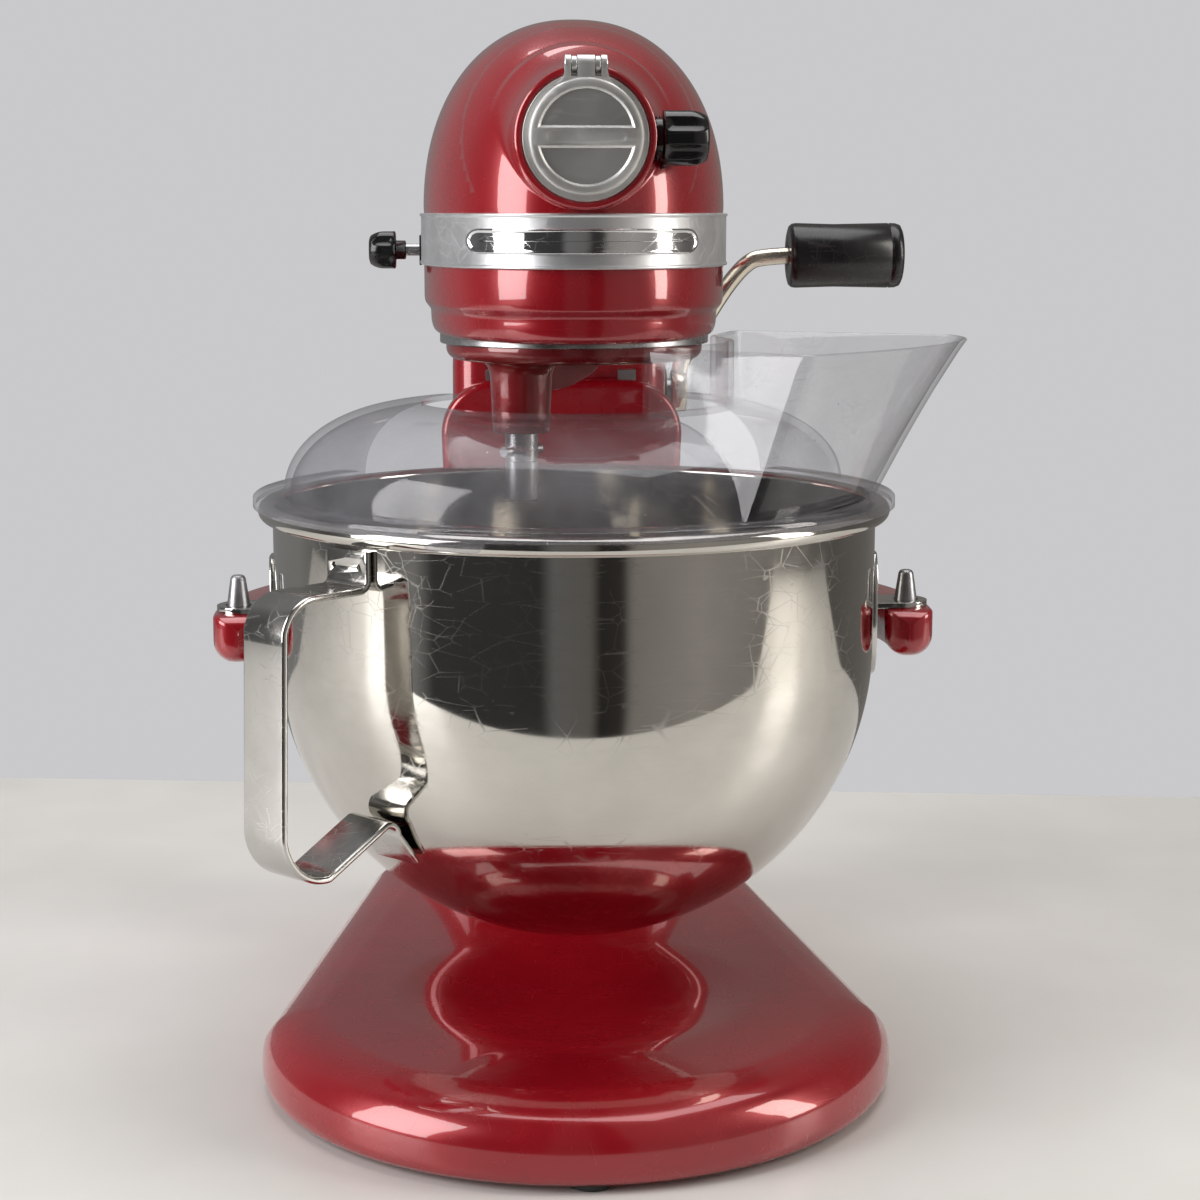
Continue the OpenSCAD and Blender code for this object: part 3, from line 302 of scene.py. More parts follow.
# %% Hair scratches
scratch_inputs = {"Spacing mm": 14.0, "Width": 0.02, "Share": 0.5}
scratches, given, result = new_group("Hair scratches", scratch_inputs, ["Mask"])
size = calc(scratches, "DIVIDE", 1000.0, given["Spacing mm"])
sway = (0.012, 0.012, 0.012)
total = 0.0
for turn, stretch in (((0.3, 0.9, 0.2), (1, 0.06, 1)), ((1.2, 0.1, 0.8), (0.07, 1, 0.9)),
                      ((0.5, 0.4, 2.1), (0.05, 0.8, 1))):
    turned_place = place_on(scratches, turn)
    bent = node(scratches, "TexNoise", {"Vector": turned_place, "Scale": 9.0, "Detail": 1.0})
    bent = node(scratches, "VectorMath", {0: bent.outputs["Color"], 1: sway}, operation="MULTIPLY")
    straight = place_on(scratches, turn, stretch)
    path = node(scratches, "VectorMath", {0: straight, 1: bent.outputs[0]}, operation="ADD").outputs[0]
    lines = node(scratches, "TexVoronoi", {"Vector": path, "Scale": size}, feature="DISTANCE_TO_EDGE")
    line = remap(scratches, lines.outputs["Distance"], 0.0, given["Width"], 1.0, 0.0)
    shown = calc(scratches, "LESS_THAN", noise(scratches, turned_place, 45.0, 2.0), given["Share"])
    total = calc(scratches, "MAXIMUM", total, calc(scratches, "MULTIPLY", line, shown))
scratches.links.new(total, result["Mask"])

# %% Specks of dust and tiny chips
specks, given, result = new_group("Specks", {"Spacing mm": 6.0, "Size": 0.12, "Share": 0.25}, ["Mask"])
size = calc(specks, "DIVIDE", 1000.0, given["Spacing mm"])
dots = node(specks, "TexVoronoi", {"Vector": place_on(specks), "Scale": size, "Randomness": 1.0})
core = calc(specks, "MULTIPLY", given["Size"], 0.6)
round_dot = remap(specks, dots.outputs["Distance"], given["Size"], core)
chance = node(specks, "SeparateColor", {0: dots.outputs["Color"]}).outputs[0]
kept = calc(specks, "LESS_THAN", chance, given["Share"])
specks.links.new(calc(specks, "MULTIPLY", round_dot, kept), result["Mask"])

# %% Worn edges
edges, given, result = new_group("Worn edges", {"Radius mm": 0.8, "Strength": 1.0}, ["Mask"])
rounded = node(edges, "Bevel", {"Radius": calc(edges, "MULTIPLY", given["Radius mm"], MM)}, samples=4)
normal = node(edges, "NewGeometry").outputs["Normal"]
facing = node(edges, "VectorMath", {0: rounded.outputs[0], 1: normal}, operation="DOT_PRODUCT")
turned_away = remap(edges, facing.outputs["Value"], 0.99, 0.86)
broken = remap(edges, noise(edges, place_on(edges), 260.0, 4.0), 0.42, 0.6)
worn = calc(edges, "MULTIPLY", turned_away, broken)
worn = calc(edges, "MULTIPLY", worn, given["Strength"], clamp=True)
edges.links.new(worn, result["Mask"])

# %% Spun and straight grain
spun, given, result = new_group("Spun grain", {"Lines per mm": 2.0}, ["Value"])
xyz = node(spun, "SeparateXYZ", {0: place_on(spun)}).outputs
turn = calc(spun, "MULTIPLY", calc(spun, "ARCTAN2", xyz[1], xyz[0]), 2.5)
squares = [calc(spun, "POWER", xyz[k], 2.0) for k in (0, 1)]
reach = calc(spun, "SQRT", calc(spun, "ADD", *squares))
fine = calc(spun, "MULTIPLY", given["Lines per mm"], 1000.0)
wound = node(spun, "CombineXYZ", {0: turn, 1: calc(spun, "MULTIPLY", xyz[2], fine),
                                  2: calc(spun, "MULTIPLY", reach, fine)})
spun.links.new(noise(spun, wound.outputs[0], 1.0, 5.0, 0.75), result["Value"])

straight_grain, given, result = new_group("Straight grain", {"Lines per mm": 3.0}, ["Value"])
fine = calc(straight_grain, "MULTIPLY", given["Lines per mm"], 1000.0)
xyz = node(straight_grain, "SeparateXYZ", {0: place_on(straight_grain)}).outputs
drawn = node(straight_grain, "CombineXYZ", {0: calc(straight_grain, "MULTIPLY", xyz[0], 18.0),
                                            1: calc(straight_grain, "MULTIPLY", xyz[1], fine),
                                            2: calc(straight_grain, "MULTIPLY", xyz[2], fine)})
straight_grain.links.new(noise(straight_grain, drawn.outputs[0], 1.0, 4.0, 0.7), result["Value"])
print("effect groups:", ", ".join(g.name for g in bpy.data.node_groups))

# %% [markdown]
# ## The red enamel
#
# The castings are sprayed with a deep red and a thick clear coat. Light that falls straight in
# comes back as a warm red, and the clear coat adds sharp white reflections on top. A slightly
# metallic red under a full coat gives that glow. The coat carries a faint waviness, a little
# polishing haze, a few hair scratches and small specks. All of them stay faint: too much of any
# one makes the paint look old.

# %% A blank material and its shader
def new_material(name, **constants):
    made = bpy.data.materials.new(name)
    made.use_nodes = True
    tree = made.node_tree
    shader = tree.nodes["Principled BSDF"]
    for key, value in constants.items():
        shader.inputs[key.replace("_", " ")].default_value = value
    return made, tree, shader


def use(tree, group, **values):
    """Places a node group and sets its inputs."""
    made = tree.nodes.new("ShaderNodeGroup")
    made.node_tree = group
    for key, value in values.items():
        made.inputs[key.replace("_", " ")].default_value = value
    return made.outputs[0]


def mix_colours(tree, factor, a, b):
    return node(tree, "Mix", {0: factor, 6: a, 7: b}, data_type="RGBA").outputs[2]


def feed(tree, shader, **links):
    for key, value in links.items():
        tree.links.new(value, shader.inputs[key.replace("_", " ")])


def bump(tree, height, depth_mm, strength=1.0):
    sockets = {"Height": height, "Distance": depth_mm * MM, "Strength": strength}
    return node(tree, "Bump", sockets).outputs[0]


# %% Enamel, clean, and worn with a darker red that is painted shade
def enamel(name, deep, warm, wear, speck_share, haze):
    made, tree, shader = new_material(name, Metallic=0.25, Coat_Weight=1.0, Coat_Roughness=0.02,
                                      Coat_IOR=1.55)
    tone = mix_colours(tree, use(tree, polish, Size_mm=60.0), deep, warm)
    dust = use(tree, specks, Spacing_mm=9.0, Size=0.035, Share=speck_share)
    chips = calc(tree, "MULTIPLY", use(tree, edges, Radius_mm=0.7), wear)
    tone = mix_colours(tree, calc(tree, "MULTIPLY", dust, 0.35), tone, (0.55, 0.30, 0.28, 1))
    tone = mix_colours(tree, chips, tone, (0.60, 0.45, 0.42, 1))
    hairs = use(tree, scratches, Spacing_mm=30.0, Width=0.005, Share=0.42)
    rough = calc(tree, "ADD", use(tree, polish, Size_mm=18.0, Low=0.24, High=0.24 + haze),
                 calc(tree, "MULTIPLY", hairs, 0.12))
    ripple = calc(tree, "MULTIPLY", noise(tree, place_on(tree), 420.0, 1.0), 0.25)
    relief = calc(tree, "SUBTRACT", ripple, calc(tree, "MULTIPLY", hairs, 0.12))
    waves = bump(tree, relief, 0.006, 0.5)
    feed(tree, shader, Base_Color=tone, Roughness=rough, Normal=waves, Coat_Normal=waves)
    return made


red = enamel("red enamel", (0.31, 0.003, 0.011, 1), (0.38, 0.005, 0.013, 1), 0.18, 0.03, 0.05)
# The worn red has real chips and specks, and its darker base colour is painted shade for the planetary
# under the head.
red_worn_shade_darkened = enamel("red enamel, worn and darkened as painted shade", (0.20, 0.004, 0.008, 1), (0.27, 0.008, 0.012, 1), 0.9, 0.22, 0.2)
print("enamel:", red.name, "and", red_worn_shade_darkened.name)

# %% [markdown]
# ## The metals
#
# Each metal is the same shader at full metallic, and the differences are in colour, polish and
# grain. The bowl is close to a mirror, with spun lines and years of fine scratches. The trim
# band is satin. The hub's cover is a die casting with a very fine pebbled skin. The lift
# handle's rod is a warmer, yellowish plating.

# %% One recipe for every metal
def metal(name, light, dark, smooth, rough, grain=None, lines=2.0, depth=0.002, hair=0.3, wear=0.5,
          pebble=0.0):
    """light and dark are the two ends of its colour, smooth and rough the two ends of its polish."""
    made, tree, shader = new_material(name, Metallic=1.0)
    patches = use(tree, polish, Size_mm=35.0)
    lined = use(tree, grain, Lines_per_mm=lines) if grain else patches
    hairs = use(tree, scratches, Spacing_mm=9.0, Width=0.02, Share=0.5)
    shine = calc(tree, "ADD", calc(tree, "MULTIPLY", patches, 0.5), calc(tree, "MULTIPLY", lined, 0.5))
    level = remap(tree, shine, 0.2, 0.8, smooth, rough)
    level = calc(tree, "ADD", level, calc(tree, "MULTIPLY", hairs, hair * 0.4))
    bright = calc(tree, "MULTIPLY", use(tree, edges, Radius_mm=0.6), wear)
    tone = mix_colours(tree, shine, dark, light)
    tone = mix_colours(tree, bright, tone, (0.93, 0.92, 0.90, 1))
    height = calc(tree, "SUBTRACT", lined, calc(tree, "MULTIPLY", hairs, hair))
    if pebble:
        cast_skin = noise(tree, place_on(tree), 2600.0, 2.0)
        height = calc(tree, "ADD", height, calc(tree, "MULTIPLY", cast_skin, pebble))
    feed(tree, shader, Base_Color=tone, Roughness=level, Normal=bump(tree, height, depth))
    return made


bowl_steel = metal("polished bowl steel", (0.66, 0.64, 0.60, 1), (0.55, 0.53, 0.49, 1), 0.035, 0.10,
                   spun, lines=1.6, depth=0.0005, hair=0.35, wear=0.3)
strap_steel = metal("brushed strap steel", (0.64, 0.63, 0.61, 1), (0.52, 0.51, 0.49, 1), 0.10, 0.20,
                    depth=0.0006, wear=0.7)
satin = metal("satin trim", (0.80, 0.81, 0.83, 1), (0.72, 0.73, 0.75, 1), 0.36, 0.46,
              spun, lines=4.0, depth=0.0015, hair=0.2, wear=0.4)
bright = metal("bright trim", (0.86, 0.86, 0.87, 1), (0.78, 0.78, 0.80, 1), 0.06, 0.14,
               depth=0.0015, hair=0.4, wear=0.4)
cast = metal("die cast cover", (0.82, 0.82, 0.81, 1), (0.72, 0.72, 0.71, 1), 0.42, 0.52,
             depth=0.004, hair=0.2, wear=0.9, pebble=0.8)
# The recess floors have a real straight brushed grain, and their darker colour is painted shade in the
# hollows.
recess_brushed_and_shaded = metal("brushed recess, darkened as painted shade", (0.70, 0.70, 0.69, 1), (0.58, 0.58, 0.58, 1), 0.40, 0.50,
                  straight_grain, lines=5.0, depth=0.006, hair=0.2, wear=0.2)
plain_steel = metal("plain steel", (0.60, 0.60, 0.61, 1), (0.46, 0.46, 0.47, 1), 0.22, 0.38,
                    straight_grain, lines=4.0, depth=0.003, hair=0.4, wear=0.6)
gear_steel = metal("ground gear steel", (0.44, 0.44, 0.46, 1), (0.30, 0.30, 0.31, 1), 0.30, 0.48,
                   depth=0.006, wear=0.9, pebble=0.4)
nickel = metal("warm nickel rod", (0.78, 0.72, 0.62, 1), (0.62, 0.56, 0.47, 1), 0.10, 0.22,
               hair=0.4, wear=0.3)
bronze = metal("worm gear bronze", (0.70, 0.46, 0.20, 1), (0.52, 0.32, 0.13, 1), 0.28, 0.44,
               depth=0.006, wear=0.9, pebble=0.4)
print("metals:", len(bpy.data.materials) - 2)

# %% [markdown]
# ## Plastics, rubber and the inner materials
#
# The knobs and the grip are moulded in black plastic that still shines, with a little dust and
# fine wear. The feet are matt rubber. Inside the head, the motor's stacked iron, its
# carbon brushes and the circuit board each get a plain but honest surface.

# %% One recipe for the dull and the shiny plastics
def moulded(name, colour, pale, smooth, rough, dust, hair, grain_mm=1.2, depth=0.002):
    """colour and pale are its two tones, dust and hair the strength of specks and scratches."""
    made, tree, shader = new_material(name, Metallic=0.0)
    patches = use(tree, polish, Size_mm=12.0)
    hairs = calc(tree, "MULTIPLY", use(tree, scratches, Spacing_mm=8.0, Width=0.02, Share=0.45), hair)
    motes = calc(tree, "MULTIPLY", use(tree, specks, Spacing_mm=2.6, Size=0.10, Share=0.12), dust)
    marks = calc(tree, "MAXIMUM", calc(tree, "MULTIPLY", hairs, 0.5), motes)
    tone = mix_colours(tree, calc(tree, "MULTIPLY", patches, 0.25), colour, pale)
    tone = mix_colours(tree, marks, tone, (0.42, 0.41, 0.39, 1))
    level = remap(tree, patches, 0.0, 1.0, smooth, rough)
    level = calc(tree, "ADD", level, calc(tree, "MULTIPLY", hairs, 0.2))
    pores = noise(tree, place_on(tree), 1000 / grain_mm, 2.0)
    height = calc(tree, "SUBTRACT", calc(tree, "MULTIPLY", pores, 0.4), hairs)
    feed(tree, shader, Base_Color=tone, Roughness=level, Normal=bump(tree, height, depth, 0.6))
    return made


black = moulded("black knob plastic", (0.008, 0.008, 0.009, 1), (0.014, 0.014, 0.014, 1), 0.13, 0.20,
                dust=0.12, hair=0.08)
grip_black = moulded("black grip plastic", (0.010, 0.010, 0.011, 1), (0.018, 0.018, 0.018, 1), 0.24, 0.32,
                     dust=0.15, hair=0.12, grain_mm=0.8, depth=0.003)
rubber = moulded("black rubber", (0.020, 0.020, 0.021, 1), (0.05, 0.05, 0.048, 1), 0.55, 0.75,
                 dust=0.6, hair=0.1, grain_mm=0.5, depth=0.03)
dark = moulded("dark moulded plastic", (0.030, 0.030, 0.032, 1), (0.06, 0.06, 0.06, 1), 0.38, 0.5,
               dust=0.3, hair=0.2)
carbon = moulded("brush carbon", (0.035, 0.034, 0.033, 1), (0.09, 0.09, 0.085, 1), 0.5, 0.7,
                 dust=0.2, hair=0.2, grain_mm=0.4, depth=0.02)
board = moulded("green circuit board", (0.010, 0.075, 0.030, 1), (0.03, 0.12, 0.05, 1), 0.28, 0.4,
                dust=0.2, hair=0.1, grain_mm=3.0, depth=0.02)
iron = metal("stacked motor iron", (0.30, 0.30, 0.32, 1), (0.16, 0.16, 0.17, 1), 0.35, 0.55,
             straight_grain, lines=1.4, depth=0.05, hair=0.2, wear=0.8)
copper = metal("copper segments", (0.78, 0.42, 0.26, 1), (0.58, 0.28, 0.16, 1), 0.25, 0.4,
               straight_grain, lines=0.7, depth=0.05, hair=0.2, wear=0.5)
print("plastics and inner materials: 8")

# %% [markdown]
# ## The clear plastic of the shield
#
# The shield and its chute are clear plastic that has been wiped for years. Straight on it is nearly
# invisible, at a glancing angle it mirrors the windows, and a net of scratches and haze turns it
# greyish. So the material mixes three shaders. A mirror is laid over a transparent one, and its
# share follows Fresnel. Only the outer side of each wall gets it, because light that leaves the
# plastic would otherwise be mirrored completely at shallow angles. The haze, the scratches and
# the dust are a third, milky shader on top.

# %% Clear plastic
def clear_plastic(name, tint, haze_low, haze_high, hair):
    made, tree, shader = new_material(name, Metallic=0.0, Base_Color=(0.62, 0.62, 0.66, 1))
    out = tree.nodes["Material Output"]
    haze = use(tree, polish, Size_mm=30.0, Low=haze_low, High=haze_high)
    hairs = calc(tree, "MULTIPLY", use(tree, scratches, Spacing_mm=7.0, Width=0.03, Share=0.5), hair)
    motes = calc(tree, "MULTIPLY", use(tree, specks, Spacing_mm=5.0, Size=0.08, Share=0.1), 0.6)
    milky = calc(tree, "MAXIMUM", calc(tree, "MAXIMUM", hairs, motes), haze)
    level = use(tree, polish, Size_mm=16.0, Low=0.05, High=0.12)
    level = calc(tree, "ADD", level, calc(tree, "MULTIPLY", hairs, 0.5))
    normal_in = bump(tree, calc(tree, "ADD", haze, hairs), 0.001)
    feed(tree, shader, Roughness=level, Normal=normal_in)
    glance = node(tree, "Fresnel", {"IOR": 1.5, "Normal": normal_in}).outputs[0]
    front_side = calc(tree, "SUBTRACT", 1.0, node(tree, "NewGeometry").outputs["Backfacing"])
    glance = calc(tree, "MULTIPLY", glance, front_side)
    through = node(tree, "BsdfTransparent", {"Color": tint})
    mirror_sockets = {"Color": (0.92, 0.92, 0.95, 1), "Roughness": level, "Normal": normal_in}
    mirror = node(tree, "BsdfGlossy", mirror_sockets)
    shiny = node(tree, "MixShader", {0: glance, 1: through.outputs[0], 2: mirror.outputs[0]})
    mixed = node(tree, "MixShader", {0: milky, 1: shiny.outputs[0], 2: shader.outputs[0]})
    tree.links.new(mixed.outputs[0], out.inputs["Surface"])
    return made


clear = clear_plastic("clear shield plastic", (0.88, 0.88, 0.89, 1), 0.04, 0.14, 0.12)
clear_chute = clear_plastic("clear chute plastic", (0.93, 0.93, 0.93, 1), 0.01, 0.05, 0.08)
print("materials:", len(bpy.data.materials))

# %% [markdown]
# ## The base
#
# The base is one hollow casting shaped like a flat pebble. Its front is round, its sides run back
# to the foot of the column, and a shallow dish below the bowl gathers the reflections. The
# edge is a smooth curve through a few heights, and every ring inside it is the
# same outline drawn smaller, so the reflections flow across the deck without a kink.

# %% Base sizes and outline
base_r, base_forward, base_rear, base_h, foot_h = 127.0, 8.0, 242.0, 31.0, 3.0
dish_r, dish_depth = 76.0, 11.0


def base_line(inward, count=288):
    radius, corner = base_r - inward, 46.0
    half, back = base_r - 34 - inward, base_rear - inward
    line = np.vstack([arc((0, -base_forward), radius, -90, -4, 64),
                      arc((half - corner, back - corner), corner, 4, 90, 40),
                      arc((-half + corner, back - corner), corner, 90, 176, 40),
                      arc((0, -base_forward), radius, 184, 269, 64)])
    return even(line, count)


def deck_ring(scale):
    ring = base_line(24) * scale
    nearness = np.minimum(np.linalg.norm(ring, axis=1) / dish_r, 1)
    return np.column_stack([ring, base_h - dish_depth * (1 - nearness ** 2) ** 2])


# %% The base casting
lip = flowing([(2.5, foot_h), (0.8, foot_h + 2), (0, foot_h + 6), (0.9, base_h - 14), (3.5, base_h - 9),
               (8, base_h - 4.6), (15, base_h - 1.6), (24, base_h)], 6)
rings = [at_height(base_line(inward), z) for inward, z in lip]
rings += [deck_ring(s) for s in np.linspace(0.97, 0.02, 48)]
under = [at_height(base_line(inward), z)
         for inward, z in ((22, 16), (22, foot_h + 1), (20, foot_h), (4, foot_h))]
base = raw_object("base_casting", skin(under + rings))
finish_piece(base, "stand", "red_enamel", red, "base", sharp=50)

# %% Rubber feet
foot_r = 9.0
foot = [(0, 0), (foot_r - 1.4, 0), (foot_r - 0.5, 0.4), (foot_r, 1.3), (foot_r - 0.2, foot_h),
        (0, foot_h)]
spots = [(0, -base_forward - base_r + 12), (base_r - 14, -20), (-base_r + 14, -20),
         (base_r - 48, base_rear - 30), (-base_r + 48, base_rear - 30)]
pads = [moved(turned(foot, 48), aim("z", (x, y, 0))) for x, y in spots]
feet = raw_object("rubber_pads", joined(*pads))
finish_piece(feet, "stand", "black_rubber", rubber, "rubber_feet")

# %% [markdown]
# ## The column
#
# The column flares into the deck like the foot of a wine glass and is hollow, with room for the
# lift mechanism. It is lofted from rounded rectangles, then a slot is cut in its front for
# the yoke, and holes for the lift shaft and the cord's inlet.

# %% The column casting
column_w, column_front, column_depth, column_wall = 98.0, 147.0, 71.0, 5.0
column_back, column_inner = column_front + column_depth, column_w / 2 - column_wall
head_mid, head_half, head_front, head_rear = 20.0, 58.5, 93.0, 236.0
head_bottom, head_top, head_wall, band_z, band_h = 299.0, 419.0, 3.0, 325.5, 19.5
split_z, band_top, seat = band_z + band_h / 2, band_z + band_h, 0.6
arm_top, lift_travel, tongue_w, tongue_h = 190.0, 36.0, 24.0, 30.0
pivot_y, pivot_z, gland_z = column_front + 37, 262.0, base_h + 62


def column_line(outward, count=200):
    half, back = column_w / 2 + outward, column_back + outward * 0.1
    front, near, far = column_front - outward, 14 + outward * 0.5, 26 + outward
    return even(np.vstack([arc((half - far, back - far), far, 0, 90),
                           arc((-half + far, back - far), far, 90, 180),
                           arc((-half + near, front + near), near, 180, 270),
                           arc((half - near, front + near), near, 270, 360)]), count)


def neck_line():
    line = column_line(0)
    reach = (np.abs(line[:, 1] - head_mid) / (head_rear - head_mid - 6.5)).clip(0, 0.999)
    under = (head_half - 6.5) * (1 - reach ** 3.6) ** (1 / 3.6)
    return np.column_stack([np.sign(line[:, 0]) * np.minimum(np.abs(line[:, 0]), under), line[:, 1]])


def rounded_rectangle(width, y0, y1, radius, count=96):
    half = width / 2
    return even(np.vstack([arc((half - radius, y1 - radius), radius, 0, 90, 12),
                           arc((-half + radius, y1 - radius), radius, 90, 180, 12),
                           arc((-half + radius, y0 + radius), radius, 180, 270, 12),
                           arc((half - radius, y0 + radius), radius, 270, 360, 12)]), count)


flare = [at_height(column_line(20 * (1 - s) ** 2), base_h + 50 * s) for s in np.linspace(0, 1, 26)]
walls = [at_height(column_line(0), z) for z in np.linspace(base_h + 60, 275, 12)]
column = raw_object("column_casting", skin(flare + walls + [at_height(neck_line(), head_bottom)]))
cavity = rounded_rectangle(column_inner * 2, column_front + column_wall, column_back - column_wall, 20)
carve(column, prism(cavity, base_h + 6, 320))
slot_low, slot_high = arm_top + 4 - lift_travel - 2, arm_top + 6 + tongue_h
slot_half = tongue_w / 2 + 0.6
carve(column, block((-slot_half, column_front - 30, slot_low), (slot_half, column_front + 10, slot_high)))
bush_r, inlet_r = 10.0, 9.0
bush_place = (column_inner - 2, pivot_y, pivot_z)
bore(column, bush_r, 30, "x", bush_place)
bore(column, inlet_r, 60, "y", (0, column_back - 20, gland_z))
finish_piece(column, "stand", "red_enamel", red, "column", sharp=40)

# %% The lift shaft's bush and the cord's inlet
bush = [(6.05, 0), (bush_r, 0), (bush_r, 7), (11.4, 7), (12, 7.5), (12, 8.6), (11.5, 9), (6.6, 9),
        (6.05, 8.5)]
part = turned_piece("lift_shaft_bush", bush, "x", bush_place, closed=True)
finish_piece(part, "stand", "dark_plastic", dark, "lift_bush")
inlet = [(4, 0), (11.5, 0), (11.5, 3), (inlet_r, 3), (inlet_r, 8), (11.2, 8), (11.5, 8.4), (11.4, 9.5),
         (9, 11.8), (6.5, 12), (4.4, 12), (4, 11.6)]
part = turned_piece("cord_inlet_bush", inlet, "y", (0, column_back - column_wall - 3, gland_z), closed=True)
finish_piece(part, "stand", "black_rubber", rubber, "cord_gland")

# %% [markdown]
# ## The motor head
#
# Seen from above, the head is an egg: blunt at the nose and long at the back. A power curve
# (a superellipse) draws it with two exponents. Upwards, the same outline shrinks along
# another power curve into a dome. The nose carries a boss round the attachment hub, which
# grows out of the dome in a soft fillet. That boss is a patch in rings round the hub's axis. Its
# depth is the smooth minimum of the dome's and the boss's own surfaces, so it melts in.

# %% The egg outline
def signed_power(value, power):
    return np.sign(value) * np.abs(value) ** power


def head_line(inward, scale=1.0, count=256):
    angle = np.radians(np.arange(4000) * 360 / 4000)
    front = np.sin(angle) < 0
    power = np.where(front, 2 / 2.3, 2 / 3.6)
    reach = np.where(front, head_front + head_mid - inward, head_rear - head_mid - inward)
    x = (head_half - inward) * signed_power(np.cos(angle), power)
    y = reach * signed_power(np.sin(angle), power)
    return even(np.column_stack([x, y]), count) * scale + (0, head_mid)


def dome_rings(inward, count=64):
    angle = np.linspace(0, 89.4, count)
    height = head_top - inward - band_top
    return [at_height(head_line(inward, math.cos(math.radians(a)) ** (1 / 1.1)),
                      band_top + height * math.sin(math.radians(a)) ** (1 / 1.1)) for a in angle]


low_edge = flowing([(6.5, 0), (5.0, 0.35), (3.8, 1.3), (3.1, 2.8), (2.65, 5), (2.5, 8.4)], 4).tolist()
low_edge += flowing([(2.42, 9.0), (1.9, 9.9), (0.9, 11.2), (0.3, 12.2), (0, 14)], 4).tolist()
floor_z = head_bottom + head_wall


def head_rings(*pairs):
    """A ring of the head's outline for each (inward, height)."""
    return [at_height(head_line(inward), z) for inward, z in pairs]


def lower_shell():
    lower_part = head_rings(*((inward, head_bottom + up) for inward, up in low_edge))
    band_seat = head_rings((0, 318), (0, 325.1), (0.15, band_z), (seat, band_z), (seat, split_z))
    inside = head_rings((head_wall, split_z), (head_wall, head_bottom + 14),
                        (head_wall + 3, head_bottom + 6), (head_wall + 6, floor_z))
    return skin(lower_part + band_seat + inside)


def upper_shell():
    band_seat = head_rings((head_wall, split_z), (seat, split_z), (seat, band_top), (0.15, band_top))
    return skin(dome_rings(head_wall)[::-1] + band_seat + dome_rings(0)[1:])


# %% The boss round the hub
hub_z, hub_bore_r, hub_face, hub_depth = 371.0, 17.5, 98.0, 30.0
hub_r = hub_bore_r + 5


def dome_front(x, z):
    """How far forward the dome stands at a place on its front."""
    size = (1 - ((z - band_top) / (head_top - band_top)).clip(0, 1) ** 2.2) ** (1 / 2.2)
    side = (np.abs(x) / (head_half * size)).clip(0, 1)
    return head_mid - (head_front + head_mid) * size * (1 - side ** 2.3) ** (1 / 2.3)


def boss_front(reach):
    t = np.sqrt(np.maximum(reach - hub_r - 2.4, 0) / 9)
    wall = -hub_face + 0.8 + 33.2 * np.minimum(t, 1) + 12 * np.maximum(reach - hub_r - 11.4, 0)
    rim = -hub_face + 0.8 * ((reach - hub_r - 1.0) / 1.4).clip(0, 1) ** 2
    return np.where(reach < hub_r + 2.4, rim, wall)


def boss_patch(count=200, steps=46):
    angle = np.radians(np.arange(count) * 360 / count)
    limit = np.minimum(43, 25.9 / np.maximum(-np.sin(angle), 1e-3))
    rings = []
    for k in range(steps):
        reach = hub_r - 0.4 + (limit - hub_r + 0.4) * (k / (steps - 1)) ** 1.5
        x, z = reach * np.cos(angle), hub_z + reach * np.sin(angle)
        dome, boss = dome_front(x, z), boss_front(reach)
        blend = 5.0
        near = np.maximum(blend - np.abs(dome - boss), 0) / blend
        depth = np.minimum(dome, boss) - near ** 3 * blend / 6 - 0.05
        rings.append(np.column_stack([x, depth, z]))
    tail = [rings[-1] + (0, 2.2, 0), rings[0] + (0, 30, 0)]
    return skin(rings + tail, around=True)


# %% The two housings and the rear cover
cover_y, cover_screw_z = 190.0, band_top + 12
lever_y, lever_z = 48.0, split_z - 5
behind = block((-200, cover_y, 0), (200, 500, 600))
window = block((-head_half - 12, lever_y - 6, lever_z - 4.2),
               (-head_half + 18, lever_y + 26, lever_z + 4.2))
lower = raw_object("lower_housing", lower_shell())
carve(lower, behind)
carve(lower, window)
bore(lower, 46.5, 10, "z", (0, 0, head_bottom - 1), 128)
finish_piece(lower, "stand", "red_enamel", red, "head_lower_housing", sharp=44)

knob_y, knob_x, knob_r, knob_neck, knob_neck_l = -hub_face + 14, hub_bore_r + 5.5, 10.0, 7.0, 4.5
hinge_w, knuckle_r, hinge_z, hinge_y = 14.8, 3.2, hub_z + hub_r + 2, -hub_face - 0.5
upper = raw_object("upper_housing", upper_shell())
carve(upper, behind)
carve(upper, boss_patch(), "UNION")
bore(upper, hub_r, 60, "y", (0, -hub_face - 10, hub_z), 128)
bore(upper, knob_neck + 0.6, 60, "x", (hub_r - 3, knob_y, hub_z), 96)
bore(upper, knob_r + 0.8, 60, "x", (knob_x + knob_neck_l - 0.6, knob_y, hub_z), 96)


def hinge_notch(depth):
    """Room at the top of the hub for the cover's knuckle."""
    return block((-hinge_w / 2 - 0.4, -hub_face - 5, hinge_z - knuckle_r - 0.4),
                 (hinge_w / 2 + 0.4, -hub_face + depth, hinge_z + 17))


carve(upper, hinge_notch(6.2))
carve(upper, window)
finish_piece(upper, "stand", "red_enamel", red, "head_upper_housing", sharp=44)

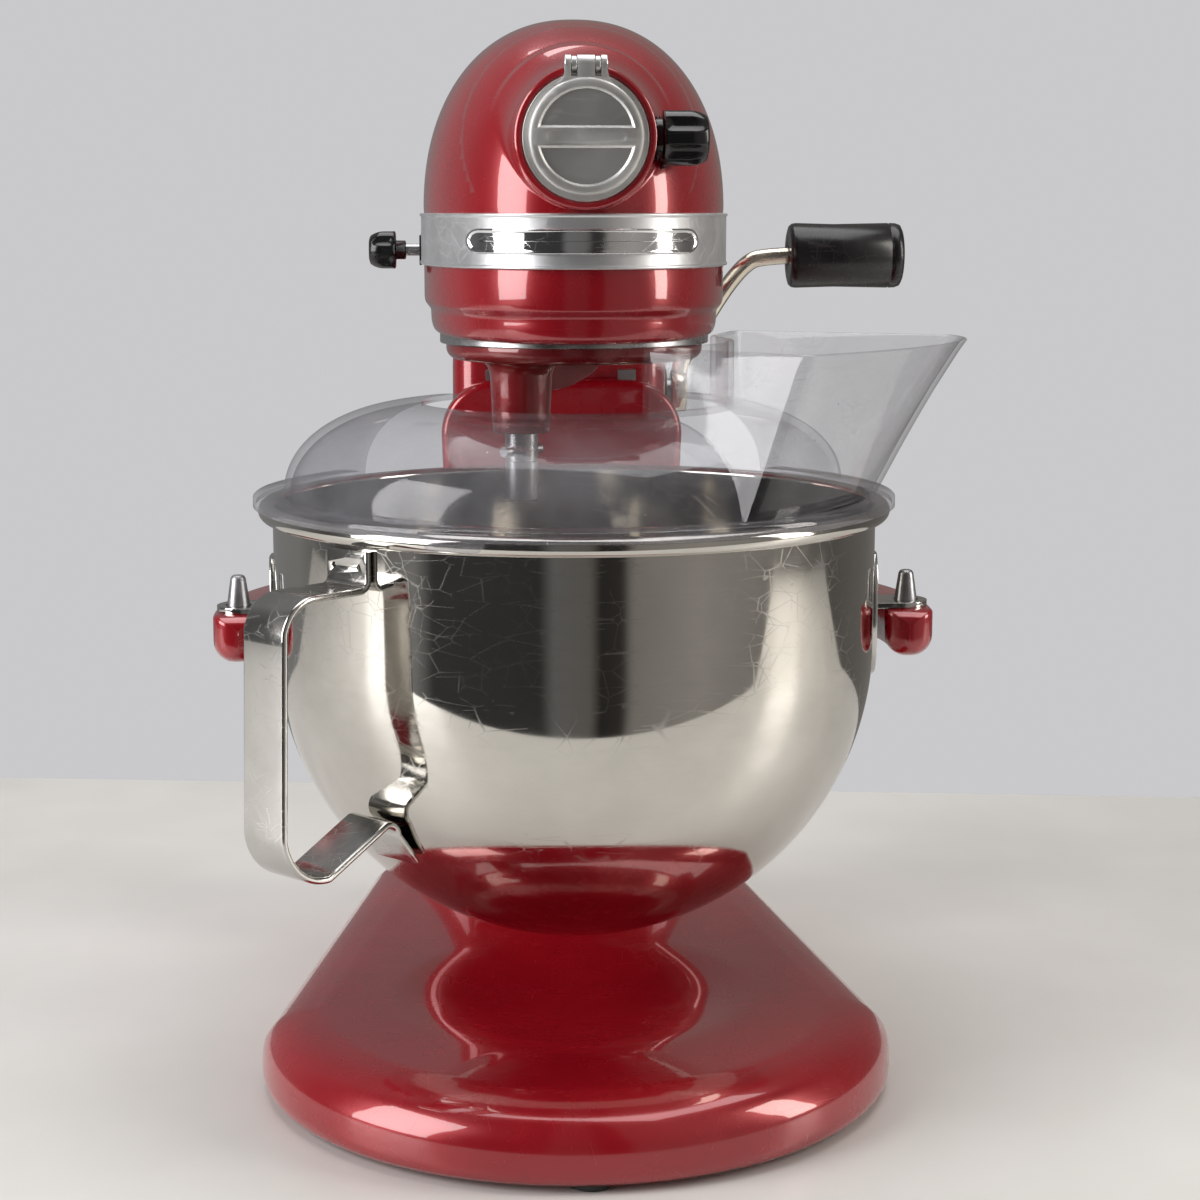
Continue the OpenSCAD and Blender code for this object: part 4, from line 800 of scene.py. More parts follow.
# %% The rear cover and its screw
cover = raw_object("rear_cover_casting", lower_shell())
carve(cover, upper_shell(), "UNION")
carve(cover, block((-200, cover_y + 0.3, 0), (200, 500, 600)), "INTERSECT")
screw_up = (cover_screw_z - band_top) / (head_top - band_top)
rear_at = head_mid + (head_rear - head_mid) * (1 - screw_up ** 2.2) ** (1 / 2.2)
carve(cover, moved(turned([(0, 0), (2.2, 0), (2.2, 18.4), (5.2, 18.4), (5.2, 60), (0, 60)], 48),
                   aim("y", (0, rear_at - 20, cover_screw_z))))
finish_piece(cover, "stand", "red_enamel", red, "rear_cover", sharp=44)
screw_place = (0, rear_at - 14, cover_screw_z)
screw_line = [(0, 0), (2.1, 0), (2.1, 12.4), (5, 12.4), (5, 13.2), (4.2, 14), (2.4, 14.4), (0, 14.4)]
screw = turned_piece("rear_cover_screw_head", screw_line, "y", screw_place, 48)
for cross in (((-2.6, 12.8, -0.5), (2.6, 20, 0.5)), ((-0.5, 12.8, -2.6), (0.5, 20, 2.6))):
    carve(screw, moved(block(*cross), Matrix.Translation(screw_place)))
finish_piece(screw, "stand", "plain_steel", plain_steel, "rear_cover_screw")

# %% [markdown]
# ## The trim band and its badge
#
# A satin strip runs right round the head and covers the joint between the two housings. It has a
# fine raised lip along its top and bottom that catches the light. In front it carries a
# plain polished badge with round ends. Both follow the egg outline, so both are lofted
# from offsets of it.

# %% The band
band_proud = 1.6
lip_section = [(-0.6, 0), (1.2, 0), (1.5, 0.15), (1.6, 0.45), (1.5, 0.95), (1.15, 1.25), (1.1, 1.6)]
band_section = lip_section + [(out, round(band_h - up, 2)) for out, up in lip_section[::-1]]
band_rings = [at_height(head_line(-out, count=360), band_z + up) for out, up in band_section]
band = raw_object("trim_strip", skin(band_rings, around=True))
carve(band, window)
finish_piece(band, "stand", "satin_trim", satin, "trim_band", sharp=60)


# %% The badge
def nose(x, outward):
    """The y of the head's outline at x, on its front."""
    side = np.abs(x) / (head_half + outward)
    return head_mid - (head_front + head_mid + outward) * (1 - side ** 2.3) ** (1 / 2.3)


def stadium(length, height, inset, count=160):
    half, end = length / 2 - height / 2, height / 2 - inset
    return even(np.vstack([arc((half, 0), end, -90, 90, 20), arc((-half, 0), end, 90, 270, 20)]), count)


def badge_ring(inset, outward, length=84, height=9):
    flat = stadium(length, height, inset)
    return np.column_stack([flat[:, 0], nose(flat[:, 0], outward), split_z + flat[:, 1]])


raised_edge = ((0, 1.9), (0.15, 2.2), (0.5, 2.4), (0.9, 2.35), (1.2, 2.1))
front = [badge_ring(inset, outward) for inset, outward in raised_edge]
front += [badge_ring(inset, 2.1) for inset in (1.9, 2.8, 3.7, 4.4)]
back = [badge_ring(inset, 1.0) for inset in (4.4, 3.0, 1.5, 0)]
badge = raw_object("plain_badge", skin(back + front))
finish_piece(badge, "stand", "bright_trim", bright, "trim_badge", sharp=60)

# %% [markdown]
# ## The attachment hub
#
# The power hub on the nose is a machined socket closed by a small hinged cover. The cover is a
# round die casting with two D-shaped recesses and a flat bar between them, and a tab at the top
# that runs out to its hinge pin. Cutting the recesses out of a turned disc and then softening
# the edges is how the real tooling works too, and it keeps the bright rims.

# %% The socket and its lugs
chamfer, shaft_hole_r, screw_hole_r = 0.7, 8.05, 3.45
socket_line = [(hub_bore_r, chamfer), (hub_bore_r + chamfer, 0), (hub_r - chamfer, 0), (hub_r, chamfer),
               (hub_r, hub_depth + 4), (shaft_hole_r, hub_depth + 4), (shaft_hole_r, hub_depth),
               (hub_bore_r, hub_depth)]
socket = turned_piece("hub_socket_casting", socket_line, "y", (0, -hub_face, hub_z), 160, closed=True)
carve(socket, hinge_notch(3.6))
bore(socket, screw_hole_r, 40, "x", (0, knob_y, hub_z), 48)
lug_line = [(1.2, 0), (2.6, 0), (2.8, 0.2), (2.8, 1.6), (2.6, 1.8), (1.2, 1.8)]
lug_x, lug_half = 4.1, 0.9
for side in (-lug_x, lug_x):
    lug = moved(turned(lug_line, 48, closed=True), aim("x", (side - lug_half, hinge_y, hinge_z)))
    carve(socket, lug, "UNION")
    carve(socket, block((side - lug_half, -hub_face + 0.4, hinge_z - 5.5),
                        (side + lug_half, -hub_face + 5.5, hinge_z + 2.7)), "UNION")
finish_piece(socket, "stand", "cast_trim", cast, "hub_socket")

# %% The hinged cover
cover_t, cover_r, gap = 4.8, hub_r - 2.5, 0.2
front_y = -hub_face - gap - cover_t
disc = [(0, 0), (cover_r - 1.4, 0), (cover_r - 0.5, 0.35), (cover_r, 1.2), (cover_r, cover_t - 0.2),
        (0, cover_t)]
lid = turned_piece("hub_cover_casting", disc, "y", (0, front_y, hub_z), 160)


def d_shape(side, radius, edge, count=72):
    start = math.degrees(math.asin(edge / radius))
    line = arc((0, 0), radius, start, 180 - start, count)
    return line if side > 0 else -line


for side in (-1, 1):
    wide, narrow = d_shape(side, cover_r - 3.0, 3.0), d_shape(side, cover_r - 3.8, 3.8)
    levels = ((wide, -1), (wide, 0.5), (narrow, 1.3))
    carve(lid, skin([[(x, front_y + deep, hub_z + z) for x, z in line] for line, deep in levels],
                    "flat", "flat"))
carve(lid, upright(stadium(27, 4, 0, 80) + (0, hub_z), (front_y - 1, front_y + 0.3)))
soften(lid, 0.22, 2, 30)

# %% The cover's tab
tab_half, tab_top, knuckle_front = hinge_w / 2, hinge_z, hinge_y - knuckle_r
flare_right = flowing([(13.5, 384.5), (9.6, 388.6), (8.1, 390.6), (tab_half, 393.2),
                       (tab_half, tab_top)], 6)
outline = np.vstack([flare_right, (flare_right * (-1, 1))[::-1]])
tab = raw_object("tab", upright(outline, (knuckle_front, -hub_face - gap)))
knuckle = [(0, 0), (knuckle_r - 0.3, 0), (knuckle_r, 0.3), (knuckle_r, hinge_w - 0.3),
           (knuckle_r - 0.3, hinge_w), (0, hinge_w)]
carve(tab, moved(turned(knuckle, 64), aim("x", (-hinge_w / 2, hinge_y, hinge_z))), "UNION")
lug_room = lug_half + 0.25
for side in (-lug_x, lug_x):
    carve(tab, block((side - lug_room, hinge_y - 10, hinge_z - 4.2),
                     (side + lug_room, hinge_y + 10, hinge_z + 8)))
bore(tab, 1.25, 20, "x", (-10, hinge_y, hinge_z), 32)
soften(tab, 0.3, 2, 40)
lid.data.update()
merged = bmesh.new()
merged.from_mesh(lid.data)
merged.from_mesh(tab.data)
merged.to_mesh(lid.data)
merged.free()
bpy.data.objects.remove(tab)
finish_piece(lid, "hub_cover", "cast_trim", cast, "hub_cover", sharp=36)

# %% The floors of the two recesses, in the same cover: brushed, and darker as painted shade
floors = []
for side in (-1, 1):
    rings = [[(x * s, front_y + 1.27, hub_z + (z if s == 1 else z * s + side * 9.4 * (1 - s)))
              for x, z in d_shape(side, cover_r - 3.95, 3.95)] for s in (1, 0.7, 0.4, 0.1)]
    floors.append(skin(rings, None, "fan"))
inlay = raw_object("hub_cover_recess_floors", joined(*floors))
finish_piece(inlay, "hub_cover", "cast_trim", recess_brushed_and_shaded)

# %% [markdown]
# ## The fluted knobs
#
# The attachment knob and the speed knob are the same moulding in two sizes: a small collar, then
# a body with six finger flutes that run out over a round end. Each ring of the body is a
# circle whose radius is the smooth minimum of the round body and six shallow cylinders, which
# gives the soft lobes that a straight cut would not.

# %% The knob shape
def fluted(profile, flute_from, flute_at, flute_r, count=240):
    angle = np.radians(np.arange(count) * 360 / count)
    from_flute = (angle + math.pi / 6) % (math.pi / 3) - math.pi / 6
    across = flute_at * np.sin(from_flute)
    inside = np.maximum(flute_r ** 2 - across ** 2, 0)
    dip = np.where(np.abs(across) < flute_r, flute_at * np.cos(from_flute) - np.sqrt(inside), flute_at)
    rings = []
    for radius, z in profile:
        amount = min(max((z - flute_from) / 2.0, 0), 1)
        blend = 0.12 * flute_at
        near = np.maximum(blend - np.abs(dip - radius), 0) / blend
        cut = np.minimum(dip, radius) - near ** 2 * blend / 4
        ring = radius * (1 - amount) + cut * amount
        rings.append(np.column_stack([ring * np.cos(angle), ring * np.sin(angle), np.full(count, z)]))
    return skin(rings)


def knob_profile(neck, neck_l, body, straight, end):
    """A collar, a body and a round end, as (radius, height)."""
    line = [(neck - 0.4, 0), (neck, 0.4), (neck, neck_l - 0.3), (neck + 0.2, neck_l),
            (body - 0.9, neck_l + 0.1), (body - 0.2, neck_l + 0.5), (body, neck_l + 1.2)]
    line += [(body, z) for z in np.linspace(neck_l + 2, straight, 8)]
    top = math.degrees(math.asin(end / body))
    dome = arc((0, straight), body, 4, top - 6, 14)
    line += dome.tolist()
    line += [(body * 0.62, straight + end - 0.25), (body * 0.5, straight + end), (0.5, straight + end)]
    return line


large_shape = fluted(knob_profile(knob_neck, knob_neck_l, knob_r, 14.0, 7.0), 5, 12.2, 3.6)
knob = raw_object("attachment_knob_moulding", moved(large_shape, aim("x", (knob_x, knob_y, hub_z))))
finish_piece(knob, "attachment_knob", "black_plastic", black, "attachment_knob", sharp=60)
small_shape = fluted(knob_profile(3.8, 4.0, 7.8, 9.0, 6.0), 4.6, 9.6, 2.8)
small = raw_object("speed_knob_moulding", moved(small_shape, aim("-x", (-head_half - 8, lever_y, lever_z))))
finish_piece(small, "speed_lever", "black_plastic", black, "speed_knob", sharp=60)

# %% [markdown]
# ## The speed slot's plate
#
# On the left side a black plate with a slot frames the speed lever. It lies on the trim band, so it
# follows the same outline as the band, with softened edges.

# %% The slot plate
plate_line = head_line(-band_proud - 0.8, count=1200)
inner_line = head_line(-band_proud + 0.1, count=1200)
y_low, y_high = lever_y - 9, lever_y + 29


def side_strip(line):
    chosen = line[(line[:, 0] < 0) & (line[:, 1] > y_low) & (line[:, 1] < y_high)]
    return chosen[np.argsort(chosen[:, 1])]


strip = np.vstack([side_strip(plate_line), side_strip(inner_line)[::-1]])
slot_plate = raw_object("speed_slot_bezel", prism(strip, lever_z - 6, lever_z + 6))
carve(slot_plate, window)
soften(slot_plate, 0.25, 2, 50)
finish_piece(slot_plate, "stand", "black_plastic", black, "speed_slot_plate")

# %% [markdown]
# ## The planetary
#
# Under the nose a disc turns, and the beater's boss goes round with it. A web stiffens the boss on one
# side. Flour and bowls have chipped its edges for years, so it gets the worn enamel, whose red is also
# made darker as painted shade for the shadow under the head. A thin
# steel ring closes the gap to the housing.

# %% The planetary casting
beater_turn, beater_offset = math.radians(225), 30.0
beater_x, beater_y = beater_offset * math.cos(beater_turn), beater_offset * math.sin(beater_turn)
boss_end, web_low, shaft_bore_r = 262.0, 277.0, 6.4
disc_z, disc_r, disc_top = 289.0, 50.0, head_bottom - 1.2
disc_line = [(0, disc_z), (42, disc_z)] + arc((45.5, disc_z + 4.5), 4.5, -90, 0, 10).tolist()
disc_line += [(disc_r, disc_z + 5.2), (disc_r, disc_top - 0.4), (disc_r - 0.4, disc_top), (0, disc_top)]
boss_line = [(0, boss_end), (10.2, boss_end), (10.8, boss_end + 0.3), (11, boss_end + 1), (11.5, 275),
             (12.0, 284), (12.8, 287), (14.5, 289.2), (17, 290), (0, 290)]
planetary = raw_object("planetary_casting", turned(disc_line, 160))
carve(planetary, moved(turned(boss_line, 96), aim("z", (beater_x, beater_y, 0))), "UNION")
web_rise = ((0, 0), (10, 0.4), (20, 2.2), (29, 6.5), (34, 11), (37, 13))
web_line = flowing([(out, web_low + up) for out, up in web_rise], 6)
web = np.vstack([web_line, [(37, 291), (0, 291)]])
web_turn = Matrix.Translation((beater_x, beater_y, 0)) @ Matrix.Rotation(math.radians(25), 4, "Z")
carve(planetary, moved(upright(web, (-2.4, 10.4)), web_turn), "UNION")
bore(planetary, shaft_bore_r, 89, "z", (beater_x, beater_y, 200))
soften(planetary, 0.7, 3, 50)
# The worn enamel's darker red is painted shade under the head, and its chips and specks are wear.
finish_piece(planetary, "planetary", "red_enamel", red_worn_shade_darkened, "planetary", sharp=50)

# %% The drip ring and the beater shaft
ring_in, ring_out, ring_low, ring_high = 50.4, 52.4, 295.4, 299.0
ring_line = [(ring_in, ring_low), (ring_out - 0.3, ring_low), (ring_out, ring_low + 0.3),
             (ring_out, ring_high - 0.3), (ring_out - 0.2, ring_high), (ring_in, ring_high)]
drip = raw_object("steel_drip_ring", turned(ring_line, 160, closed=True))
finish_piece(drip, "stand", "plain_steel", plain_steel, "drip_ring")
# A shallow turned groove sits below the cross pin.
shaft_r, groove_r, shaft_end, shaft_top = 6.35, 5.75, 236.0, 312.0
groove_low, groove_high, groove_slope = 251.1, 251.9, 0.3
shaft_line = [(0, shaft_end + 5), (2, shaft_end + 5), (2, shaft_end), (5.6, shaft_end),
              (6.2, shaft_end + 0.3), (shaft_r, shaft_end + 1), (shaft_r, groove_low - groove_slope),
              (groove_r, groove_low), (groove_r, groove_high), (shaft_r, groove_high + groove_slope),
              (shaft_r, shaft_top), (0, shaft_top)]
shaft = turned_piece("beater_shaft_bar", shaft_line, "z", (beater_x, beater_y, 0))
cross_pin_z, cross_hole_r = 255.0, 2.02
cross = (Matrix.Translation((beater_x, beater_y, cross_pin_z)) @ Matrix.Rotation(beater_turn, 4, "Z")
         @ aim("x", (-20, 0, 0)))
carve(shaft, moved(rod(cross_hole_r, 40, 40), cross))
finish_piece(shaft, "beater_shaft", "plain_steel", plain_steel, "beater_shaft")

# %% [markdown]
# ## The bowl
#
# The bowl is spun from one sheet of steel: a half sphere that runs up into a straight wall,
# with its rim rolled outwards over a bead. A lathe profile that goes down the outside and up
# the inside gives the sheet its real thickness. Its inside gets the same mesh, because it shows
# through the shield and when the bowl is down.

# %% The bowl profile
bowl_r, bowl_bottom, bowl_top, bowl_wall, bead_r = 118.5, 59.5, 234.6, 1.2, 3.6
bowl_mid = bowl_bottom + bowl_r
bead_z, bead_mid = bowl_top - bead_r, bowl_r + bead_r * 0.55
rim_r = bead_mid + bead_r
arm_r = rim_r + 9
inner_r = bowl_r - bowl_wall
outside = arc((0, bowl_mid), bowl_r, -90, 0, 90).tolist()
outside += [(bowl_r, z) for z in np.linspace(bowl_mid + 2, bead_z - 3.4, 24)]
fold = math.degrees(math.acos((inner_r - bead_mid) / bead_r))
bead = [(bowl_r, bead_z - 3.15)] + arc((bead_mid, bead_z), bead_r, -122, fold, 40).tolist()
inside = [(inner_r, z) for z in np.linspace(bead_z + 1.0, bowl_mid + 2, 24)]
inside += arc((0, bowl_mid), inner_r, 0, -90, 90).tolist()
outside[0], inside[-1] = (0, bowl_bottom), (0, bowl_bottom + bowl_wall)
bowl = raw_object("spun_bowl", turned(outside + bead + inside, 288))
finish_piece(bowl, "bowl_lift", "bowl_steel", bowl_steel, "bowl", sharp=50)

# %% [markdown]
# ## The bowl's ears and locating pins
#
# Two flat ears are welded to the bowl at its widest. Each drops over a tapered pin that stands on the
# yoke's arm. The ear is a pressed plate with a round end, and a thin oval doubler spreads its
# load over the bowl's wall.

# %% The ears
ear_t, pin_r = 2.2, 4.8


def ear_shape(side):
    reach = arm_r + 8.5 - 11
    outline = np.vstack([[(bowl_r - 0.3, -11)], arc((reach, 0), 11, -90, 90, 40), [(bowl_r - 0.3, 11)]])
    return prism(outline * (side, 1), arm_top, arm_top + ear_t)


def doubler(side):
    def ring(scale, radius):
        angle = np.radians(np.arange(120) * 3)
        across, up = 17 * scale * np.cos(angle), arm_top - 2 + 26 * scale * np.sin(angle)
        high = np.minimum(up, arm_top + 21.8)
        turn = across / bowl_r
        return np.column_stack([side * radius * np.cos(turn), radius * np.sin(turn), high])

    hidden = [ring(s, bowl_r - 0.2) for s in (0.05, 0.25, 0.5, 0.75, 1)]
    edge = [ring(1, bowl_r + 1.3), ring(0.985, bowl_r + 1.7)]
    return skin(hidden + edge + [ring(s, bowl_r + 1.8) for s in (0.95, 0.75, 0.5, 0.25, 0.05)])


ears = raw_object("bowl_ear_plates", ear_shape(-1))
carve(ears, ear_shape(1), "UNION")
for side in (-1, 1):
    bore(ears, pin_r + 0.3, 20, "z", (side * arm_r, 0, arm_top - 5))
soften(ears, 0.4, 3, 50)
for side in (-1, 1):
    carve(ears, doubler(side), "UNION")
finish_piece(ears, "bowl_lift", "bowl_steel", strap_steel, "bowl_ears", sharp=44)

# %% The locating pins
pin_h = 14.0
pin = [(0, -12), (3, -12), (3, 0), (pin_r, 0), (pin_r, 0.6), (pin_r * 0.62, pin_h - 1.2),
       (pin_r * 0.5, pin_h - 0.3), (pin_r * 0.36, pin_h), (0, pin_h)]
pins = raw_object("locating_pins", joined(*(moved(turned(pin, 64), aim("z", (side * arm_r, 0, arm_top)))
                                            for side in (-1, 1))))
finish_piece(pins, "bowl_lift", "plain_steel", gear_steel, "bowl_pins")

# %% [markdown]
# ## The bowl's handle
#
# The handle is one strap of steel, bent four times: flat against the wall at the top, out, down in a
# long bow, and back in to a foot welded under the bowl's curve. Sweeping a rounded section along
# the path keeps the strap's width true through every bend, and the polished edges stay
# round.

# %% The strap's path and sweep
strap_w, strap_t, handle_reach = 22.0, 2.6, 40.0
strap_in, strap_out, strap_low = bowl_r + strap_t / 2 + 0.05, bowl_r + handle_reach + 3, bowl_mid - 56
low_r = math.sqrt(bowl_r ** 2 - 56 ** 2) + strap_t / 2 + 0.1
path = np.vstack([[(strap_in, bead_z - bead_r - 1.5)],
                  arc((strap_in + 4, bead_z - 15), 4, 180, 270, 12),
                  arc((strap_out - 16, bead_z - 33), 14, 90, 12, 24),
                  arc((strap_out - 20, strap_low + 8), 20, -6, -92, 32),
                  arc((low_r + 6, strap_low - 3), 5, 80, 175, 16), [(low_r - 8, strap_low - 14.5)]])
handle_turn = math.radians(-90 - 45)


def strap_section(count=10):
    """A flat section with round edges, as (thickness, width) offsets."""
    t, w, r = strap_t / 2, strap_w / 2, strap_t / 2 - 0.15
    corners = [((t - r, w - r), 0), ((-t + r, w - r), 90), ((-t + r, -w + r), 180),
               ((t - r, -w + r), 270)]
    return np.vstack([arc(centre, r, start, start + 90, count) for centre, start in corners])


def sweep(path, section):
    fine = [path[0]]
    for a, b in zip(path[:-1], path[1:]):
        parts = max(1, int(np.linalg.norm(b - a) / 4))
        fine += [a + (b - a) * k / parts for k in range(1, parts + 1)]
    fine = np.array(fine)
    rings = []
    for k, place in enumerate(fine):
        along = fine[min(k + 1, len(fine) - 1)] - fine[max(k - 1, 0)]
        along = along / np.linalg.norm(along)
        out = np.array([-along[1], along[0]])
        rings.append([(*(place + out * t), w) for t, w in section])
    return skin(rings, "flat", "flat")


points, faces = sweep(path, strap_section())
c, s = math.cos(handle_turn), math.sin(handle_turn)
points = [(r * c - w * s, r * s + w * c, z) for r, z, w in points]
handle = raw_object("bowl_strap_handle", (points, faces))
for across in (-6.6, 6.6):
    hole = Matrix.Rotation(handle_turn, 4, "Z") @ aim("x", (strap_in - 5, across, bead_z - 11))
    carve(handle, moved(rod(1.1, 10, 32), hole))
soften(handle, 0.25, 2, 60)
finish_piece(handle, "bowl_lift", "bowl_steel", strap_steel, "bowl_handle", sharp=44)

# %% [markdown]
# ## The yoke
#
# The yoke is the red casting that carries the bowl. A slider with round shoulders runs on two rails
# in front of the column, and its two arms reach round the bowl in half a ring, each ending in a
# smooth nose. The arms are a rounded section swept round the bowl and shrunk at the ends.

# %% The slider and the arms
slider_front, slider_back, slider_w, slider_top = rim_r + 3, column_front - 3, 108.0, 271.0
arm_w, arm_h, rail_x, rail_w, tongue_z = 19.0, 19.0, 30.0, 8.0, arm_top + 4


def arm_section(width, height, count=8):
    half = width / 2
    low, corner = -height, min(8.5, half * 0.9)
    return np.vstack([arc((half - 1.6, -1.6), 1.6, 0, 90, 5), arc((-half + 1.6, -1.6), 1.6, 90, 180, 5),
                      arc((-half + corner, low + corner), corner, 180, 270, count),
                      arc((half - corner, low + corner), corner, 270, 360, count)])


ring_list = []
arm_turns = [np.linspace(-8, -4, 10), np.linspace(-2, 182, 93), np.linspace(184, 188, 10)]
for turn in np.concatenate(arm_turns):
    from_tip = min(turn + 8, 188 - turn) / 4
    scale = math.sqrt(max(1 - (1 - min(from_tip, 1)) ** 2, 0.004))
    a = math.radians(turn)
    section = arm_section(arm_w, arm_h)
    middle = -arm_h * 0.42
    ring_list.append([((arm_r + u * scale) * math.cos(a), (arm_r + u * scale) * math.sin(a),
                       arm_top + middle + (v - middle) * (0.35 + 0.65 * scale)) for u, v in section])
shoulder = 24
face = np.vstack([[(-slider_w / 2 + 3, arm_top - arm_h - 6), (slider_w / 2 - 3, arm_top - arm_h - 6)],
                  arc((slider_w / 2 - shoulder, slider_top - shoulder), shoulder, 0, 90, 24),
                  arc((-slider_w / 2 + shoulder, slider_top - shoulder), shoulder, 90, 180, 24)])
yoke = raw_object("yoke_casting", upright(face, (slider_front, slider_back)))
soften(yoke, 3.5, 4, 50)
carve(yoke, skin(ring_list), "UNION")
tongue = block((-tongue_w / 2, slider_back - 1, tongue_z),
               (tongue_w / 2, column_front + 6.5, tongue_z + tongue_h))
carve(yoke, tongue, "UNION")
groove_half = rail_w / 2 + 0.2
for side in (-1, 1):
    carve(yoke, block((side * rail_x - groove_half, slider_back - 4.2, 0),
                      (side * rail_x + groove_half, 160, 400)))
    bore(yoke, 3, 20, "z", (side * arm_r, 0, arm_top - 12), 40)
finish_piece(yoke, "bowl_lift", "red_enamel", red, "yoke", sharp=42)

# %% [markdown]
# ## The lift handle
#
# A bent rod with a fat black grip turns the lift shaft. A rod is the simplest sweep of all, a
# circle carried along a smooth path. The grip is turned, with a seam near its outer end where
# the cap is pressed in.

# %% The rod and the grip
lever_x, grip_x, grip_z, grip_y = column_w / 2 + 5, 108.0, 325.5, pivot_y - 4
lift_shaft_r, lever_rod_r, grip_r, grip_l = 6.0, 3.9, 15.0, 53.0
knots = [(lever_x + 3, pivot_y, pivot_z + lift_shaft_r + 1), (lever_x + 5, pivot_y, pivot_z + 16),
         (lever_x + 32, pivot_y - 3, grip_z - 3), (grip_x - 7, grip_y, grip_z),
         (grip_x + 20, grip_y, grip_z), (grip_x + grip_l - 8, grip_y, grip_z)]


def eased(knots, per=14):
    """Straight runs joined by curves that touch the middle of each run."""
    k = [np.array(p, float) for p in knots]
    line = [k[0]]
    for i in range(1, len(k) - 1):
        a, b = (k[i] + k[i - 1]) / 2, (k[i] + k[i + 1]) / 2
        for t in np.linspace(0, 1, per):
            line.append((1 - t) ** 2 * a + 2 * t * (1 - t) * k[i] + t * t * b)
    return line + [k[-1]]


def bar(line, radius, count=32):
    rings = []
    for i, place in enumerate(line):
        along = line[min(i + 1, len(line) - 1)] - line[max(i - 1, 0)]
        u = np.cross((0, 1, 0), along)
        u = u / np.linalg.norm(u)
        v = np.cross(along, u)
        v = v / np.linalg.norm(v)
        angle = np.radians(np.arange(count) * 360 / count)
        rings.append(place + radius * (np.outer(np.cos(angle), u) + np.outer(np.sin(angle), v)))
    return skin(rings)


bent_rod = raw_object("lift_handle_rod", bar(eased(knots), lever_rod_r))
collar = [(lift_shaft_r, 0.4), (lift_shaft_r + 0.4, 0), (9.0, 0), (9.5, 0.5), (9.5, 6.5), (9.0, 7),
          (lift_shaft_r + 0.4, 7), (lift_shaft_r, 6.6)]
collar_place = aim("x", (lever_x - 0.5, pivot_y, pivot_z))
carve(bent_rod, moved(turned(collar, 72, closed=True), collar_place), "UNION")
finish_piece(bent_rod, "lift_handle", "nickel_rod", nickel, "lift_lever", sharp=50)
seam = grip_l - 6
grip_line = [(0, 1.4), (lever_rod_r, 1.2), (lever_rod_r + 0.8, 0.2), (grip_r - 3, 0), (grip_r - 1.2, 0.5),
             (grip_r - 0.3, 1.6), (grip_r, 3.2), (grip_r - 0.5, grip_l * 0.4), (grip_r, seam - 0.6),
             (grip_r - 0.5, seam - 0.2), (grip_r - 0.5, seam + 0.2), (grip_r, seam + 0.6),
             (grip_r - 0.1, grip_l - 3), (grip_r - 0.8, grip_l - 1), (grip_r - 2.4, grip_l - 0.2),
             (grip_r - 5, grip_l), (0, grip_l)]
grip = turned_piece("lift_handle_grip", grip_line, "x", (grip_x, grip_y, grip_z), 128)
finish_piece(grip, "lift_handle", "black_plastic", grip_black, "lift_grip", sharp=60)

# %% [markdown]
# ## The pouring shield
#
# The shield is a shallow dome with a flange that sits on the bowl's rim. It is open at the back
# like a C, so that it slides in under the head. A curved section swept through most of a
# turn makes it. A small tab hooks over the rim in front, and a piece is cut away at the right
# where the chute stands.

# %% The shield's section
shield_t, shield_hole_r, shield_h, chute_h = 2.2, 60.0, 37.5, 61.5
flange_z, flange_in, flange_out = bowl_top + 0.1, bowl_r - 4.5, rim_r + 1.9
chute_top = flange_z + chute_h


def dome_z(radius):
    u = np.clip((np.asarray(radius) - shield_hole_r) / (flange_in - shield_hole_r), 0, None)
    return flange_z + shield_t + (shield_h - shield_t) * np.clip(1 - u ** 2.1, 0, None) ** (1 / 2.1)


reach = shield_hole_r + (flange_in - shield_hole_r) * np.sin(np.radians(np.linspace(0, 90, 44)))
outer = [(r, z) for r, z in zip(reach, dome_z(reach))]
flange_top = flange_z + shield_t
flange = [(flange_in + 0.8, flange_top), (flange_out - 0.5, flange_top), (flange_out, flange_top - 0.5),
          (flange_out, flange_z - 1.7), (flange_out - 0.3, flange_z - 2), (flange_out - 0.9, flange_z - 2),
          (flange_out - 1.2, flange_z - 1.7), (flange_out - 1.2, flange_z)]
inner = [(max(shield_hole_r, r - shield_t), dome_z(r) - shield_t) for r in reach[::-1]]
section = np.array(outer + flange + inner)


def arc_sweep(section, start, sweep_by, steps):
    turns = np.radians(start + np.linspace(0, sweep_by, steps + 1))
    out, high = section[:, 0], section[:, 1]
    rings = [np.column_stack([out * math.cos(t), out * math.sin(t), high]) for t in turns]
    return skin(rings, "flat", "flat")


# %% The chute's outline, from its foot to its mouth
def polar(radius, degrees):
    return radius * np.array([math.cos(math.radians(degrees)), math.sin(math.radians(degrees))])


def between(a, b, count):
    return [a + (b - a) * i / count for i in range(count)]


